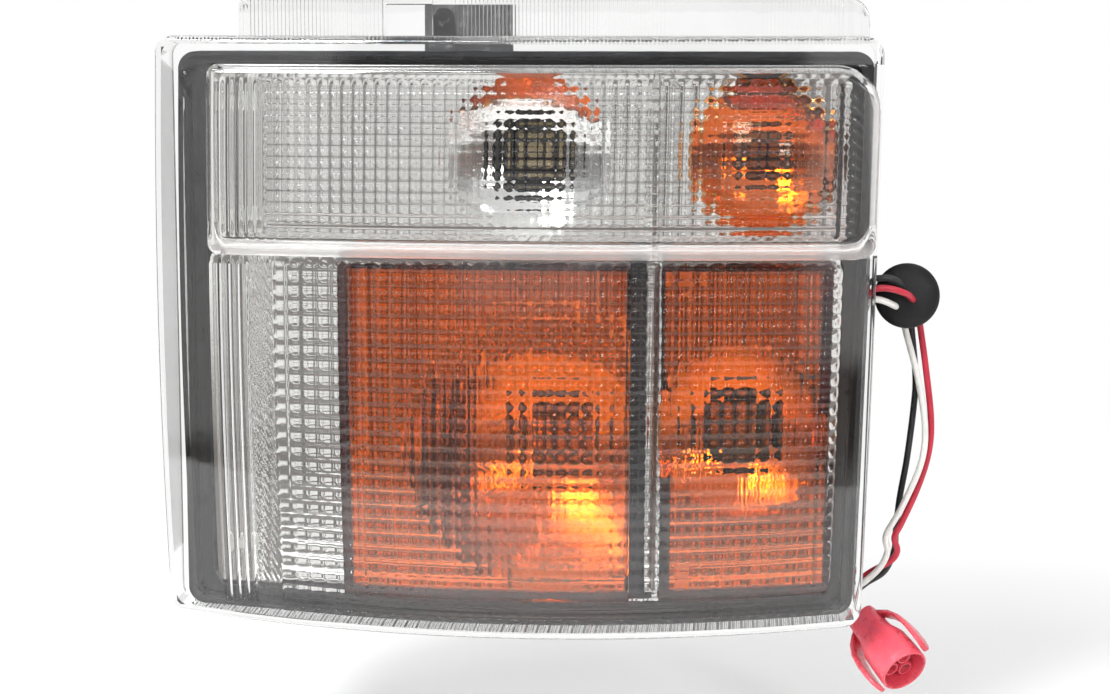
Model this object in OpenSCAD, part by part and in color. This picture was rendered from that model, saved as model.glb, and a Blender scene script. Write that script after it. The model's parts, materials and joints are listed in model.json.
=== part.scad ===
// Front corner combination lamp: one clear stepped outer lens over two amber inner lenses,
// an amber dome and a plain position window, with four quarter-turn bulb holders behind.
// Millimetres. +X is to the right seen from the front, the lens faces -Y and +Z is up.
// The origin is the centre of the rear mounting pad.

/* [Outer lens] */
// Distance of the left edge from the mounting centre
lens_left = 125; // [123:0.5:127]
// Distance of the right edge from the mounting centre, at the top
lens_right_top = 118; // [117:0.5:119]
// Distance of the right edge from the mounting centre, at the bottom
lens_right_bottom = 113.4; // [112.5:0.1:114.5]
// Height of the straight top edge
lens_top = 101.3; // [100.5:0.1:103]
// Depth of the lowest point of the bowed bottom edge below the mounting centre
lens_bottom = 102.2; // [101:0.1:104]
// Radius of the bowed bottom edge
bottom_radius = 1440; // [1300:20:1700]
// Radius of the crowned front face
front_radius = 620; // [600:5:640]
// How far the upper window stands out of the front face
step_out = 9; // [7:0.5:10]
// Thickness of the clear wall
lens_wall = 2.8; // [2.4:0.1:3]
// Height of the clear ledge above the top edge
ledge_height = 12.7; // [11:0.1:14]

/* [Housing] */
// Depth from the mounting pad to the front of the glue channel
rim_front = 64; // [63:0.5:65]
// Depth from the mounting pad to the back of the glue channel
rim_back = 54; // [53:0.5:55]
// Thickness of the housing walls
housing_wall = 2.5; // [2:0.1:3]
// Depth of the outer face of the rear wall below the mounting pad
rear_face = 6; // [5.5:0.5:6.5]
// Distance between the two mounting studs
stud_spacing = 170; // [160:1:176]
// Height of the studs below the mounting centre
stud_drop = 66; // [62:1:70]
// Radius of a mounting stud
stud_radius = 3; // [2.5:0.5:3]

/* [Bulbs] */
// Radius of a bulb cap
cap_radius = 7.5; // [7.4:0.05:7.5]
// Largest swing of a holder when it is released, degrees
release_angle = 45; // [40:1:50]
// Press travel of a bulb against its spring
press_travel = 2; // [1.5:0.1:2.2]

/* [Wiring] */
// Radius of one insulated wire
wire_radius = 1.1; // [1:0.05:1.15]
// Distance between neighbouring wires
wire_pitch = 2.7; // [2.6:0.05:2.75]
// Radius of the round grommet
grommet_radius = 11.3; // [10.5:0.1:12]

/* [Hidden] */
// name, x, z, globe radius, neck radius, neck length, reflector radius, focal length, reflector hole
STATIONS = [
    ["turn", 7, -39, 12.5, 7.3, 10, 50, 22, 15],
    ["side", 72, -32.5, 12.5, 7.3, 10, 29, 19, 15],
    ["position", 0, 60, 9, 6.8, 5, 27, 16, 15],
    ["marker", 78.5, 61, 9, 6.8, 5, 23.5, 12, 10.5]
];
PIECES = ["holder", "seal", "shell", "contact", "spring", "bulb_base", "bulb_glass", "filament"];
$fn = 48;
eps = 0.05;                     // running clearance between touching moving faces
far = 130;                      // a depth in front of the whole lamp

crown_x = 8;                    // centre of the crowned front face
crown_z = 20;
crown_y = front_radius - 94;
bow_x = -5;                     // middle of the bowed bottom edge

// Insets from the lens outline: left, right, top, bottom
flush_edge = [0, 0, 0, 0];
skirt_in = [2.5, 2.5, 2.5, 2.5];
rim_out = [6.2, 2.7, 5.5, 3];
rim_in = [15, 10.8, 12.5, 10.5];
rim_lip = 1.6;
groove_out = grow(rim_out, rim_lip);
groove_in = grow(rim_in, -rim_lip);
tongue_out = grow(groove_out, 0.9);
tongue_in = grow(tongue_out, 1.8);
body_out = grow(rim_in, -housing_wall);
tray = grow(rim_in, 0.6);       // outline of the reflectors inside the housing

skirt_back = 55;                // rear edge of the lens skirt
tongue_back = 58.5;             // rear edge of the glue tongue
tray_front = 60;                // front face of both reflectors
tray_wall = 1.8;
rear_inner = rear_face + 3;     // inner face of the rear wall
split_z = 28.5;                 // height of the gap between the reflectors

// Upper window outline
window_left = -104.5;
window_bottom = 29.3;
window_edge = 1;                // inset of its right edge
window_top_edge = 9.2;          // inset of its top edge

// Amber lenses
amber_out = front_radius - 12;
amber_wall = 2.2;
turn_span = [-62.7, 35.2];
side_span = [45.6, 101.5];
dome_radius = 26.5;
divider_x = 36;
divider_wall = 1.6;
divider_back = 40;
baffle_front = 76;
rib_x = 43;
rib_back = 84;

// Ledge
ledge_left = -99.4;
ledge_right = 114;
slot_x = -29.2;
slot_radius = 3.9;
slot_z = 106.5;
ledge_front = 58;
ledge_back = 48;
ledge_wall = 3;
ledge_lip = 2;
ledge_top = lens_top + ledge_height;

// Mounting
pad_radius = 14;
boss_radius = 9;
collar_radius = 20.2;
rib_width = 2;
rib_height = 3;
nipple_radius = 3;
housing_top = lens_top - body_out[2];
stud_end = 20;
shank_radius = stud_radius + 0.5;
bracket_left = -36;
bracket_width = 30;
bracket_tail = 14;              // how far the tab reaches behind the mounting plane
bracket_hole_y = 4;
bracket_hole_radius = 3.3;
bracket_wall = 2;
bracket_front = 53.9;
bracket_screw_x = [-29, -13];
bracket_screw_y = 40;
screw_posts = [[-98, 79], [-98, 40], [42, 40], [42, 80], [-98, -74], [-98, 14], [53, -83], [53, 19]];
post_radius = 4;
screw_radius = 1.45;
screw_length = 12;
vents = [[-70, 74], [-70, -30]];

// Bulb holders, heights measured forward from the outer face of the rear wall
hole_radius = 14.05;
neck_radius = 13.9;
lug_radius = 16.2;
slot_reach = 16.5;
lug_width = 9;
flange_radius = 19.5;
flange_back = -5;
neck_front = 6;
knob_back = -14;
knob_radius = 14.5;
seal_out = 18.7;
bore_radius = 8.6;
bore_floor = -6;
shell_front = 12;
cap_bottom = 2;
cap_top = 17;
pin_height = 9.3;
pin_radius = 1;
coil_turns = 3.5;
coil_radius = 4.6;
coil_wire = 0.45;
coil_rings = 56;
contact_bottom = -0.7;
pin_reach = 8.9;
glass_wall = 0.6;

// Leads behind the lamp
lead_radius = 1.8;
lane_y = 15;
lane_pitch = 4.2;
lane_mid = 12;
lane_order = [1, 0, 2, 3];      // place of each station's lead, from the lowest lane up
clip_x = [42.5, 86.5];
boot_x = 91;
boot_length = 10;
sleeve_radius = 5;
sleeve_bore = 4.2;
sleeve_x = 112.8;
sleeve_end = 38;

// Wires between the sleeve, the grommet and the connector
loop_x = 129.4;
loop_front = 49.4;
drop_y = -26;
drop_radius = 6;
belly = [141, -38];             // x and z of the widest point of the hanging wires
tail = [113, -101];             // x and z of the turn into the connector
plug_dir = unit([0.48, -0.74, -0.48]);
plug_up = unit([0, 1, 0] - plug_dir[1] * plug_dir);
plug_start = 8;
grommet_front = 41;
groove_radius = 8.5;
shank_half = 5.6;
shank_length = 13;
mouth_length = 15;
mouth_radius = 8.8;
terminal_ring = 3.5;

// ---------- functions ----------

function grow(g, d) = [for (v = g) v + d];
function unit(v) = v / norm(v);
function arc(c, r, a0, a1, n = 8) =
    [for (i = [0:n]) c + r * [cos(a0 + (a1 - a0) * i / n), sin(a0 + (a1 - a0) * i / n)]];
function bow(x) = bottom_radius - sqrt(pow(bottom_radius, 2) - pow(x - bow_x, 2));
function bottom_z(x, g) = -lens_bottom + g[3] + bow(x);
function right_x(z) = lens_right_bottom
    + (lens_right_top - lens_right_bottom) * (z + lens_bottom) / (lens_top + lens_bottom);

// Closed outline of the lamp in x and z, moved in by the four insets, with rounded corners
function outline(g, r) =
    let (l = -lens_left + g[0], t = lens_top - g[2], rt = lens_right_top - g[1],
         rb = lens_right_bottom - g[1], n = 12)
    concat(
        arc([l + r, t - r], r, 180, 90),
        arc([rt - r, t - r], r, 90, 0),
        arc([rb - r, bottom_z(rb - r, g) + r], r, 0, -90),
        [for (i = [1:n - 1]) let (x = rb - r - (rb - l - 2 * r) * i / n) [x, bottom_z(x, g)]],
        arc([l + r, bottom_z(l + r, g) + r], r, -90, -180)
    );

// Closed outline of the upper window, moved in by m
function window_outline(m) =
    let (l = window_left + m, b = window_bottom + m, t = lens_top - window_top_edge - m,
         rt = right_x(80) - window_edge - m, rb = right_x(window_bottom) - window_edge - m,
         big = 15 - m, low = 6 - m / 2, small = 3.5 - m / 2)
    concat(
        arc([l + small, t - small], small, 180, 90),
        arc([rt - big, t - big], big, 90, 0),
        arc([rb - low, b + low], low, 0, -90),
        arc([l + small, b + small], small, -90, -180)
    );

// Wire path with the offset k of one wire, as points and bend radii
function wire_points(k) =
    let (o = k * wire_pitch, end = [tail[0], drop_y, tail[1]] + o * plug_up)
    [
        [sleeve_x, -sleeve_end + 6, lane_mid + o],
        [sleeve_x, -loop_front, lane_mid + o],
        [loop_x, -loop_front, lane_mid + o],
        [loop_x, drop_y + o, lane_mid + o],
        [loop_x, drop_y + o, -1],
        [belly[0], drop_y + o, belly[1]],
        end,
        end + 16 * plug_dir
    ];
function wire_bends(k) = [0, 8.2, 8.2, drop_radius + k * wire_pitch, 20, 60, 6, 0];

// ---------- general modules ----------

// Extrudes an outline drawn in x and z between two depths in front of the mounting pad
module layer(points, front, back) {
    translate([0, -back, 0]) rotate([90, 0, 0]) linear_extrude(front - back) polygon(points);
}

// The band between two outlines given by their insets
module band(g_out, g_in, r_out, r_in, front, back) {
    difference() {
        layer(outline(g_out, r_out), front, back);
        layer(outline(g_in, r_in), front + 1, back - 1);
    }
}

module block(x0, x1, front, back, z0, z1) {
    translate([x0, -front, z0]) cube([x1 - x0, front - back, z1 - z0]);
}

// A cylinder along y at x, z between two depths
module post(x, z, r, front, back) {
    translate([x, -back, z]) rotate([90, 0, 0]) cylinder(r = r, h = front - back);
}

// The ball whose front is the crowned face of the lens
module crown(r) {
    translate([crown_x, crown_y, crown_z]) sphere(r = r, $fn = 300);
}

// Stands its children at a bulb station, +Z forward from the outer face of the rear wall
module at_station(s) {
    translate([s[1], -rear_face, s[2]]) rotate([90, 0, 0]) children();
}

// A straight round bar between two points
module bar(a, b, r) {
    d = b - a;
    if (norm(d) > 0.02) {
        translate(a) rotate([0, acos(d[2] / norm(d)), atan2(d[1], d[0])]) cylinder(r = r, h = norm(d));
    }
}

// A round bend at corner p, from direction u to direction v
module bend(p, u, v, radius, r) {
    turn = acos(u * v);
    n = unit(v - (u * v) * u);
    c = p - radius * tan(turn / 2) * u + radius * n;
    w = cross(u, n);
    multmatrix([[-n[0], u[0], w[0], c[0]], [-n[1], u[1], w[1], c[1]], [-n[2], u[2], w[2], c[2]],
                [0, 0, 0, 1]])
        rotate_extrude(angle = turn) translate([radius, 0]) circle(r = r);
}

// Length that the bend at corner i takes from each of its two straights
function bend_cut(p, radii, i) =
    i == 0 || i == len(p) - 1 ? 0
    : radii[i] * tan(acos(unit(p[i] - p[i - 1]) * unit(p[i + 1] - p[i])) / 2);

// A round line through points, with a bend radius at each corner
module line(p, radii, r) {
    for (i = [0:len(p) - 2]) {
        u = unit(p[i + 1] - p[i]);
        bar(p[i] + bend_cut(p, radii, i) * u, p[i + 1] - bend_cut(p, radii, i + 1) * u, r);
        if (i > 0) {
            bend(p[i], unit(p[i] - p[i - 1]), u, radii[i], r);
        }
    }
}

// Points and directions along a line through points, with a round bend at each corner
function line_stations(p, radii, steps) = concat(
    [[p[0], unit(p[1] - p[0])]],
    [for (i = [1:len(p) - 2])
        let (u = unit(p[i] - p[i - 1]), v = unit(p[i + 1] - p[i]), turn = acos(u * v),
             n = unit(v - (u * v) * u), c = p[i] - radii[i] * tan(turn / 2) * u + radii[i] * n)
        each [for (j = [0:steps]) let (a = turn * j / steps)
            [c + radii[i] * (sin(a) * u - cos(a) * n), cos(a) * u + sin(a) * n]]],
    [[p[len(p) - 1], unit(p[len(p) - 1] - p[len(p) - 2])]]
);

// Closed skin of a bar that follows a list of points and directions
module skin(stations, r, sides, up) {
    last = len(stations) - 1;
    points = [for (s = stations)
        let (a = unit(cross(s[1], up)), b = cross(a, s[1]))
        each [for (k = [0:sides - 1]) s[0] + r * (cos(360 * k / sides) * a + sin(360 * k / sides) * b)]];
    quads = [for (i = [0:last - 1], k = [0:sides - 1])
        [i * sides + k, i * sides + (k + 1) % sides, (i + 1) * sides + (k + 1) % sides,
         (i + 1) * sides + k]];
    ends = [[for (k = [sides - 1:-1:0]) k], [for (k = [0:sides - 1]) last * sides + k]];
    polyhedron(points, concat(quads, ends));
}

// ---------- casing ----------

module lug_pair(reach, width, h0, h1) {
    intersection() {
        translate([0, 0, h0]) cylinder(r = reach, h = h1 - h0);
        translate([-reach - 1, -width / 2, h0]) cube([2 * reach + 2, width, h1 - h0]);
    }
}

module bracket_screw_holes(r, z0, z1) {
    for (x = bracket_screw_x) {
        translate([x, -bracket_screw_y, z0]) cylinder(r = r, h = z1 - z0);
    }
}

module housing_ribs() {
    for (z = [25, -75]) {
        block(-100, 98, rear_face + 1, rear_face - rib_height, z, z + rib_width);
    }
    for (x = [-104, -45, 36]) {
        block(x, x + rib_width, rear_face + 1, rear_face - rib_height, -86, 80);
    }
}

module housing_cavity() {
    difference() {
        layer(outline(rim_in, 7), far, rear_inner);
        for (p = screw_posts) {
            post(p[0], p[1], post_radius, tray_front - tray_wall, rear_face);
        }
        bracket_screw_holes(post_radius, housing_top - 10, housing_top);
    }
}

module housing() {
    color([0.08, 0.08, 0.09]) difference() {
        union() {
            layer(outline(rim_out, 6), rim_front, rim_back);
            layer(outline(body_out, 9), rim_back + 1, rear_face);
            housing_ribs();
            for (x = [-1, 1]) {
                post(x * stud_spacing / 2, -stud_drop, boss_radius, rear_face + 1, 0);
            }
            post(0, 0, pad_radius, rear_face + 1, 0);
            for (s = STATIONS) {
                post(s[1], s[2], collar_radius + 2.3, rear_face + 1, rear_face - rib_height);
            }
            for (v = vents) {
                post(v[0], v[1], nipple_radius, rear_face + 1, rear_face - 10);
            }
        }
        housing_cavity();
        band(groove_out, groove_in, 5, 8, far, rim_back + 3);
        for (s = STATIONS) {
            post(s[1], s[2], collar_radius, rear_face, 0);
            post(s[1], s[2], hole_radius, rear_inner + 1, rear_face - 1);
            at_station(s) rotate([0, 0, release_angle]) lug_pair(slot_reach, lug_width + 1, -1, 4);
        }
        for (x = [-1, 1]) {
            post(x * stud_spacing / 2, -stud_drop, shank_radius + eps, rear_inner + 1, -1);
        }
        for (p = screw_posts) {
            post(p[0], p[1], screw_radius + eps, tray_front, tray_front - screw_length - 1);
        }
        for (v = vents) {
            post(v[0], v[1], 1.8, rear_inner + 1, rear_face - 11);
        }
        bracket_screw_holes(screw_radius + eps, housing_top - 9, housing_top + 1);
    }
}

module ledge_outline(m, z0) {
    r = 8 - m;
    small = 3 - m;
    polygon(concat(
        [[ledge_left + m, z0]],
        arc([ledge_left + m + small, ledge_top - m - small], small, 180, 90, 4),
        arc([ledge_right - m - r, ledge_top - m - r], r, 90, 0),
        [[ledge_right - m, z0]]
    ));
}

// The clear ledge above the lens: a thin front with a lip that returns backwards
module ledge() {
    difference() {
        translate([0, -ledge_back, 0]) rotate([90, 0, 0]) linear_extrude(ledge_front - ledge_back)
            ledge_outline(0, lens_top - 2.5);
        translate([0, -ledge_front + ledge_wall, 0]) rotate([90, 0, 0]) mirror([0, 0, 1])
            linear_extrude(20) ledge_outline(ledge_lip, lens_top - 6);
        post(slot_x, slot_z, slot_radius, ledge_front + 1, ledge_back - 1);
        block(slot_x - slot_radius, slot_x + slot_radius, ledge_front + 1, ledge_back - 1,
              lens_top + 0.8, slot_z);
    }
}

// The thin rib behind the front face that parts the two bulb compartments
module lens_rib() {
    intersection() {
        block(rib_x, rib_x + rib_width, far, rib_back, -86, 92);
        crown(front_radius - 2);
    }
    intersection() {
        block(rib_x, rib_x + rib_width, far, rib_back, window_bottom + 1, lens_top - window_top_edge - 1);
        crown(front_radius + step_out - 2);
    }
}

module outer_lens() {
    color([0.9, 0.93, 0.95, 0.35]) union() {
        difference() {
            union() {
                intersection() {
                    layer(outline(flush_edge, 7), far, skirt_back);
                    crown(front_radius);
                }
                intersection() {
                    layer(window_outline(0), far, 70);
                    crown(front_radius + step_out);
                }
            }
            intersection() {
                layer(outline(skirt_in, 5), far, skirt_back - 1);
                crown(front_radius - lens_wall);
            }
            intersection() {
                layer(window_outline(lens_wall), far, 60);
                crown(front_radius + step_out - lens_wall);
            }
        }
        intersection() {
            band(tongue_out, tongue_in, 4, 7, far, tongue_back);
            crown(front_radius - 2);
        }
        lens_rib();
        ledge();
    }
}

module lens_seal() {
    color([0.05, 0.05, 0.05]) difference() {
        band(groove_out, groove_in, 5, 8, rim_front - 1.5, rim_back + 3);
        band(tongue_out, tongue_in, 4, 7, rim_front, tongue_back);
    }
}

// ---------- optics ----------

// Thin parabolic bowl at a station, open at the front and pierced for the bulb
module bowl(s) {
    steps = 12;
    radii = [for (i = [0:steps]) s[8] + (s[6] - s[8]) * i / steps];
    front_edge = tray_front - rear_face;
    heights = [for (r = radii) front_edge - (pow(s[6], 2) - pow(r, 2)) / (4 * s[7])];
    at_station(s) rotate_extrude($fn = 96) polygon(concat(
        [for (i = [0:steps]) [radii[i], heights[i]]],
        [for (i = [steps:-1:0]) [radii[i], heights[i] - tray_wall]]
    ));
}

// Front plate of a reflector between two heights
module tray_plate(z0, z1) {
    intersection() {
        layer(outline(tray, 6.5), tray_front, tray_front - tray_wall);
        block(-far, far, tray_front + 1, tray_front - 3, z0, z1);
    }
}

module tray_openings(stations, posts) {
    for (s = stations) {
        post(s[1], s[2], s[6] - 0.5, tray_front + 1, tray_front - 3);
    }
    for (p = posts) {
        post(p[0], p[1], screw_radius + 0.15, tray_front + 1, tray_front - 3);
    }
}

module upper_reflector() {
    color([0.8, 0.82, 0.84]) union() {
        difference() {
            tray_plate(split_z + 1, lens_top);
            tray_openings([STATIONS[2], STATIONS[3]], [for (i = [0:3]) screw_posts[i]]);
        }
        bowl(STATIONS[2]);
        bowl(STATIONS[3]);
    }
}

module lower_reflector() {
    color([0.8, 0.82, 0.84]) union() {
        difference() {
            tray_plate(-lens_bottom - 5, split_z - 1);
            difference() {
                tray_openings([STATIONS[0]], []);
                block(divider_x, far, far, 0, -far, far);
            }
            tray_openings([STATIONS[1]], [for (i = [4:7]) screw_posts[i]]);
        }
        difference() {
            bowl(STATIONS[0]);
            block(divider_x, far, far, 0, -far, far);
        }
        bowl(STATIONS[1]);
        block(divider_x, divider_x + divider_wall, tray_front, divider_back, -86, 14);
    }
}

module light_baffle() {
    color([0.1, 0.1, 0.1])
        block(divider_x - 0.4, divider_x + 4.8, baffle_front, tray_front, -87, 25.4);
}

// Box-shaped inner lens over x0..x1 whose front follows the crown of the outer lens
module amber_box(x0, x1) {
    edge = grow(tray, 0.8);
    difference() {
        intersection() {
            layer(outline(edge, 6), far, tray_front);
            block(x0, x1, far, tray_front, -far, 25.4);
            crown(amber_out);
        }
        intersection() {
            layer(outline(grow(edge, amber_wall), 5), far, tray_front - 1);
            block(x0 + amber_wall, x1 - amber_wall, far, tray_front - 1, -far, 25.4 - amber_wall);
            crown(amber_out - amber_wall);
        }
    }
}

module amber_lens_turn() {
    color([1, 0.45, 0.05, 0.7]) amber_box(turn_span[0], turn_span[1]);
}

module amber_lens_side() {
    color([1, 0.45, 0.05, 0.7]) amber_box(side_span[0], side_span[1]);
}

module amber_dome() {
    s = STATIONS[3];
    color([1, 0.45, 0.05, 0.7]) difference() {
        translate([s[1], -tray_front, s[2]]) sphere(r = dome_radius, $fn = 72);
        translate([s[1], -tray_front, s[2]]) sphere(r = dome_radius - amber_wall, $fn = 72);
        block(s[1] - 40, s[1] + 40, tray_front, 0, s[2] - 40, s[2] + 40);
    }
}

// ---------- fixings ----------

module reflector_screws() {
    color([0.7, 0.7, 0.72]) for (p = screw_posts) {
        post(p[0], p[1], screw_radius, tray_front, tray_front - screw_length);
        post(p[0], p[1], 3.2, tray_front + 2, tray_front);
    }
}

module mounting_studs() {
    color([0.75, 0.75, 0.78]) for (x = [-1, 1]) {
        post(x * stud_spacing / 2, -stud_drop, stud_radius, 0, -stud_end);
        post(x * stud_spacing / 2, -stud_drop, shank_radius, rear_inner, 0);
        post(x * stud_spacing / 2, -stud_drop, 6, rear_inner + 3, rear_inner);
    }
}

module top_bracket() {
    right = bracket_left + bracket_width;
    middle = bracket_left + bracket_width / 2;
    color([0.12, 0.12, 0.12]) difference() {
        union() {
            block(bracket_left, right, bracket_front, bracket_front - bracket_wall,
                  housing_top, ledge_top - ledge_lip - 0.5);
            block(bracket_left, right, bracket_front, 28, housing_top, housing_top + bracket_wall);
            block(middle - 9, middle + 9, 29, -bracket_tail, housing_top, housing_top + bracket_wall);
        }
        translate([middle, bracket_hole_y, housing_top - 1]) cylinder(r = bracket_hole_radius, h = 4);
        bracket_screw_holes(screw_radius + 0.15, housing_top - 1, housing_top + 4);
    }
}

module bracket_screws() {
    color([0.7, 0.7, 0.72]) union() {
        bracket_screw_holes(screw_radius, housing_top - 8, housing_top + bracket_wall);
        bracket_screw_holes(3.2, housing_top + bracket_wall, housing_top + bracket_wall + 2);
    }
}

module breather_tubes() {
    color([0.1, 0.1, 0.1]) for (v = vents) {
        path = [[v[0], -rear_face + 1, v[1]], [v[0], 11, v[1]], [v[0], 11, v[1] - 16]];
        difference() {
            line(path, [0, 6, 0], 4.6);
            line([path[0] - [0, 1, 0], path[1], path[2] - [0, 0, 1]], [0, 6, 0], nipple_radius + eps);
        }
    }
}

// ---------- bulb stations ----------

module holder() {
    color([0.15, 0.15, 0.16]) difference() {
        union() {
            translate([0, 0, flange_back]) cylinder(r = flange_radius, h = -2 - flange_back);
            translate([0, 0, -3]) cylinder(r = neck_radius, h = neck_front + 3);
            lug_pair(lug_radius, lug_width, 3 + eps, 5.5);
            translate([0, 0, knob_back]) cylinder(r = knob_radius, h = flange_back - knob_back);
            finger_wings();
        }
        translate([0, 0, bore_floor]) cylinder(r = bore_radius, h = 20);
        translate([0, 0, knob_back - 1]) cylinder(r = lead_radius + eps, h = 5);
        translate([0, 0, knob_back]) cylinder(r = 1, h = 10);
    }
}

// The two finger wings on the back of a holder
module finger_wings() {
    lug_pair(flange_radius - 2, 6, knob_back, flange_back);
}

module seal() {
    color([0.05, 0.05, 0.05]) translate([0, 0, -2]) difference() {
        cylinder(r = seal_out, h = 2 - eps);
        translate([0, 0, -1]) cylinder(r = slot_reach + 0.2, h = 4);
    }
}

// One hooked slot in the metal shell: a way in, a turn and a seat for the pin
module hook_slot() {
    low = pin_height - press_travel - pin_radius - 0.25;
    width = 2 * pin_radius + 0.4;
    translate([6, -width / 2, low]) cube([4, width, press_travel + width + 0.1]);
    rotate([0, 0, 35]) translate([6, -width / 2, low]) cube([4, width, 20]);
    rotate_extrude(angle = 35) translate([5, low - 0.1]) square([6, width - 0.1]);
}

module shell() {
    color([0.8, 0.78, 0.7]) difference() {
        translate([0, 0, bore_floor]) cylinder(r = bore_radius, h = shell_front - bore_floor);
        translate([0, 0, bore_floor - 1]) cylinder(r = cap_radius + 0.3, h = 30);
        hook_slot();
        rotate([0, 0, 180]) hook_slot();
    }
}

module contact() {
    color([0.85, 0.7, 0.35]) translate([0, 0, contact_bottom]) cylinder(r = 6.5, h = 1 - contact_bottom);
}

module spring() {
    low = bore_floor + coil_wire + eps;
    rise = contact_bottom - coil_wire - eps - low;
    stations = [for (i = [0:coil_rings]) let (t = i / coil_rings, a = 360 * coil_turns * t)
        [[coil_radius * cos(a), coil_radius * sin(a), low + rise * t], [-sin(a), cos(a), 0]]];
    color([0.75, 0.76, 0.78]) skin(stations, coil_wire, 6, [0, 0, 1]);
}

module bulb_base() {
    color([0.8, 0.75, 0.55]) union() {
        translate([0, 0, cap_bottom]) cylinder(r = cap_radius, h = cap_top - cap_bottom);
        translate([0, 0, 1]) cylinder(r = 2.2, h = 2);
        translate([0, 0, pin_height]) rotate([0, 90, 0])
            cylinder(r = pin_radius, h = 2 * pin_reach, center = true);
    }
}

function globe_height(s) = cap_top + s[5] + sqrt(pow(s[3], 2) - pow(s[4], 2));

module bulb_glass(s) {
    color([0.9, 0.95, 1, 0.3]) difference() {
        union() {
            translate([0, 0, cap_top]) cylinder(r = s[4], h = s[5] + 0.5);
            translate([0, 0, globe_height(s)]) sphere(r = s[3], $fn = 64);
        }
        translate([0, 0, cap_top - 1]) cylinder(r = s[4] - glass_wall, h = s[5] + 2);
        translate([0, 0, globe_height(s)]) sphere(r = s[3] - glass_wall, $fn = 64);
    }
}

module filament(s) {
    top = globe_height(s);
    color([0.6, 0.6, 0.6]) union() {
        for (x = [-1, 1]) {
            translate([x * 2.4, 0, cap_top]) cylinder(r = 0.35, h = top - cap_top);
        }
        translate([-3, 0, top]) rotate([0, 90, 0]) cylinder(r = 0.7, h = 6);
        translate([-3, 0, cap_top + s[5]]) rotate([0, 90, 0]) cylinder(r = 1.1, h = 6);
    }
}

// ---------- wiring ----------

module lead_sleeves() {
    color([0.08, 0.08, 0.08]) for (i = [0:3]) {
        s = STATIONS[i];
        z = lane_mid + lane_pitch * (lane_order[i] - 1.5);
        line([[s[1], 4.2, s[2]], [s[1], lane_y, s[2]], [s[1], lane_y, z], [boot_x + 4, lane_y, z]],
             [0, 5, 4, 0], lead_radius);
    }
}

// Holes for all four leads between two x positions
module lane_holes(x0, x1) {
    for (k = [0:3]) {
        z = lane_mid + lane_pitch * (k - 1.5);
        bar([x0, lane_y, z], [x1, lane_y, z], lead_radius + eps);
    }
}

module cable_clips() {
    color([0.1, 0.1, 0.1]) for (x = clip_x) {
        difference() {
            union() {
                block(x - 2.5, x + 2.5, -lane_y + 3, -lane_y - 3, lane_mid - 9.5, lane_mid + 9.5);
                post(x, lane_mid, 2.4, rear_face, -lane_y + 2);
            }
            lane_holes(x - 5, x + 5);
        }
    }
}

module splice_boot() {
    color([0.07, 0.07, 0.07]) difference() {
        block(boot_x, boot_x + boot_length, -lane_y + 6.7, -lane_y - 6.7, lane_mid - 10.5, lane_mid + 10.5);
        lane_holes(boot_x - 1, boot_x + 4);
        bar([boot_x + 7, lane_y, lane_mid], [boot_x + 12, lane_y, lane_mid], sleeve_radius + eps);
    }
}

module harness_sleeve() {
    path = [[boot_x + 7.2, lane_y, lane_mid], [sleeve_x, lane_y, lane_mid], [sleeve_x, -sleeve_end, lane_mid]];
    color([0.07, 0.07, 0.07]) difference() {
        line(path, [0, 9, 0], sleeve_radius);
        line([path[0] - [1, 0, 0], path[1], path[2] - [0, 1, 0]], [0, 9, 0], sleeve_bore);
    }
}

module wire(k) {
    skin(line_stations(wire_points(k), wire_bends(k), 6), wire_radius, 8, [1, 1, 1]);
}

module wire_black() {
    color([0.05, 0.05, 0.05]) wire(1);
}

module wire_red() {
    color([0.75, 0.05, 0.15]) wire(0);
}

module wire_white() {
    color([0.9, 0.9, 0.85]) wire(-1);
}

module grommet() {
    color([0.04, 0.04, 0.04]) difference() {
        union() {
            post(loop_x, lane_mid, grommet_radius, grommet_front, grommet_front - 3);
            post(loop_x, lane_mid, groove_radius, grommet_front - 2, grommet_front - 7);
            post(loop_x, lane_mid, grommet_radius - 0.8, grommet_front - 5.6, grommet_front - 9);
        }
        for (k = [-1:1]) {
            post(loop_x, lane_mid + k * wire_pitch, wire_radius + 0.02, grommet_front + 1, 30);
        }
    }
}

// Stands its children at the back of the connector, +Z towards its open mouth
module at_plug() {
    x = cross(plug_up, plug_dir);
    p = [tail[0], drop_y, tail[1]] + plug_start * plug_dir;
    multmatrix([[x[0], plug_up[0], plug_dir[0], p[0]], [x[1], plug_up[1], plug_dir[1], p[1]],
                [x[2], plug_up[2], plug_dir[2], p[2]], [0, 0, 0, 1]]) children();
}

module connector_housing() {
    color([0.85, 0.2, 0.3]) at_plug() difference() {
        union() {
            translate([-shank_half, -shank_half, 0]) cube([2 * shank_half, 2 * shank_half, shank_length]);
            translate([0, 0, shank_length - 2]) cylinder(r = mouth_radius, h = mouth_length + 2);
            for (m = [0, 1]) {
                mirror([m, 0, 0]) {
                    translate([mouth_radius + 1.6, -5, 4]) cube([1.6, 10, mouth_length + 7]);
                    translate([4, -1, 4]) cube([mouth_radius - 1, 2, 10]);
                }
            }
        }
        translate([-1.4, -4, -1]) cube([2.8, 8, 11]);
        translate([0, 0, shank_length]) cylinder(r = mouth_radius - 1.3, h = mouth_length + 1);
    }
}

module connector_terminals() {
    color([0.85, 0.8, 0.6]) at_plug() for (a = [90, 210, 330]) {
        translate([terminal_ring * cos(a), terminal_ring * sin(a), shank_length]) difference() {
            cylinder(r = 1.9, h = 10);
            translate([0, 0, 1]) cylinder(r = 1.3, h = 10);
        }
    }
}

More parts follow.
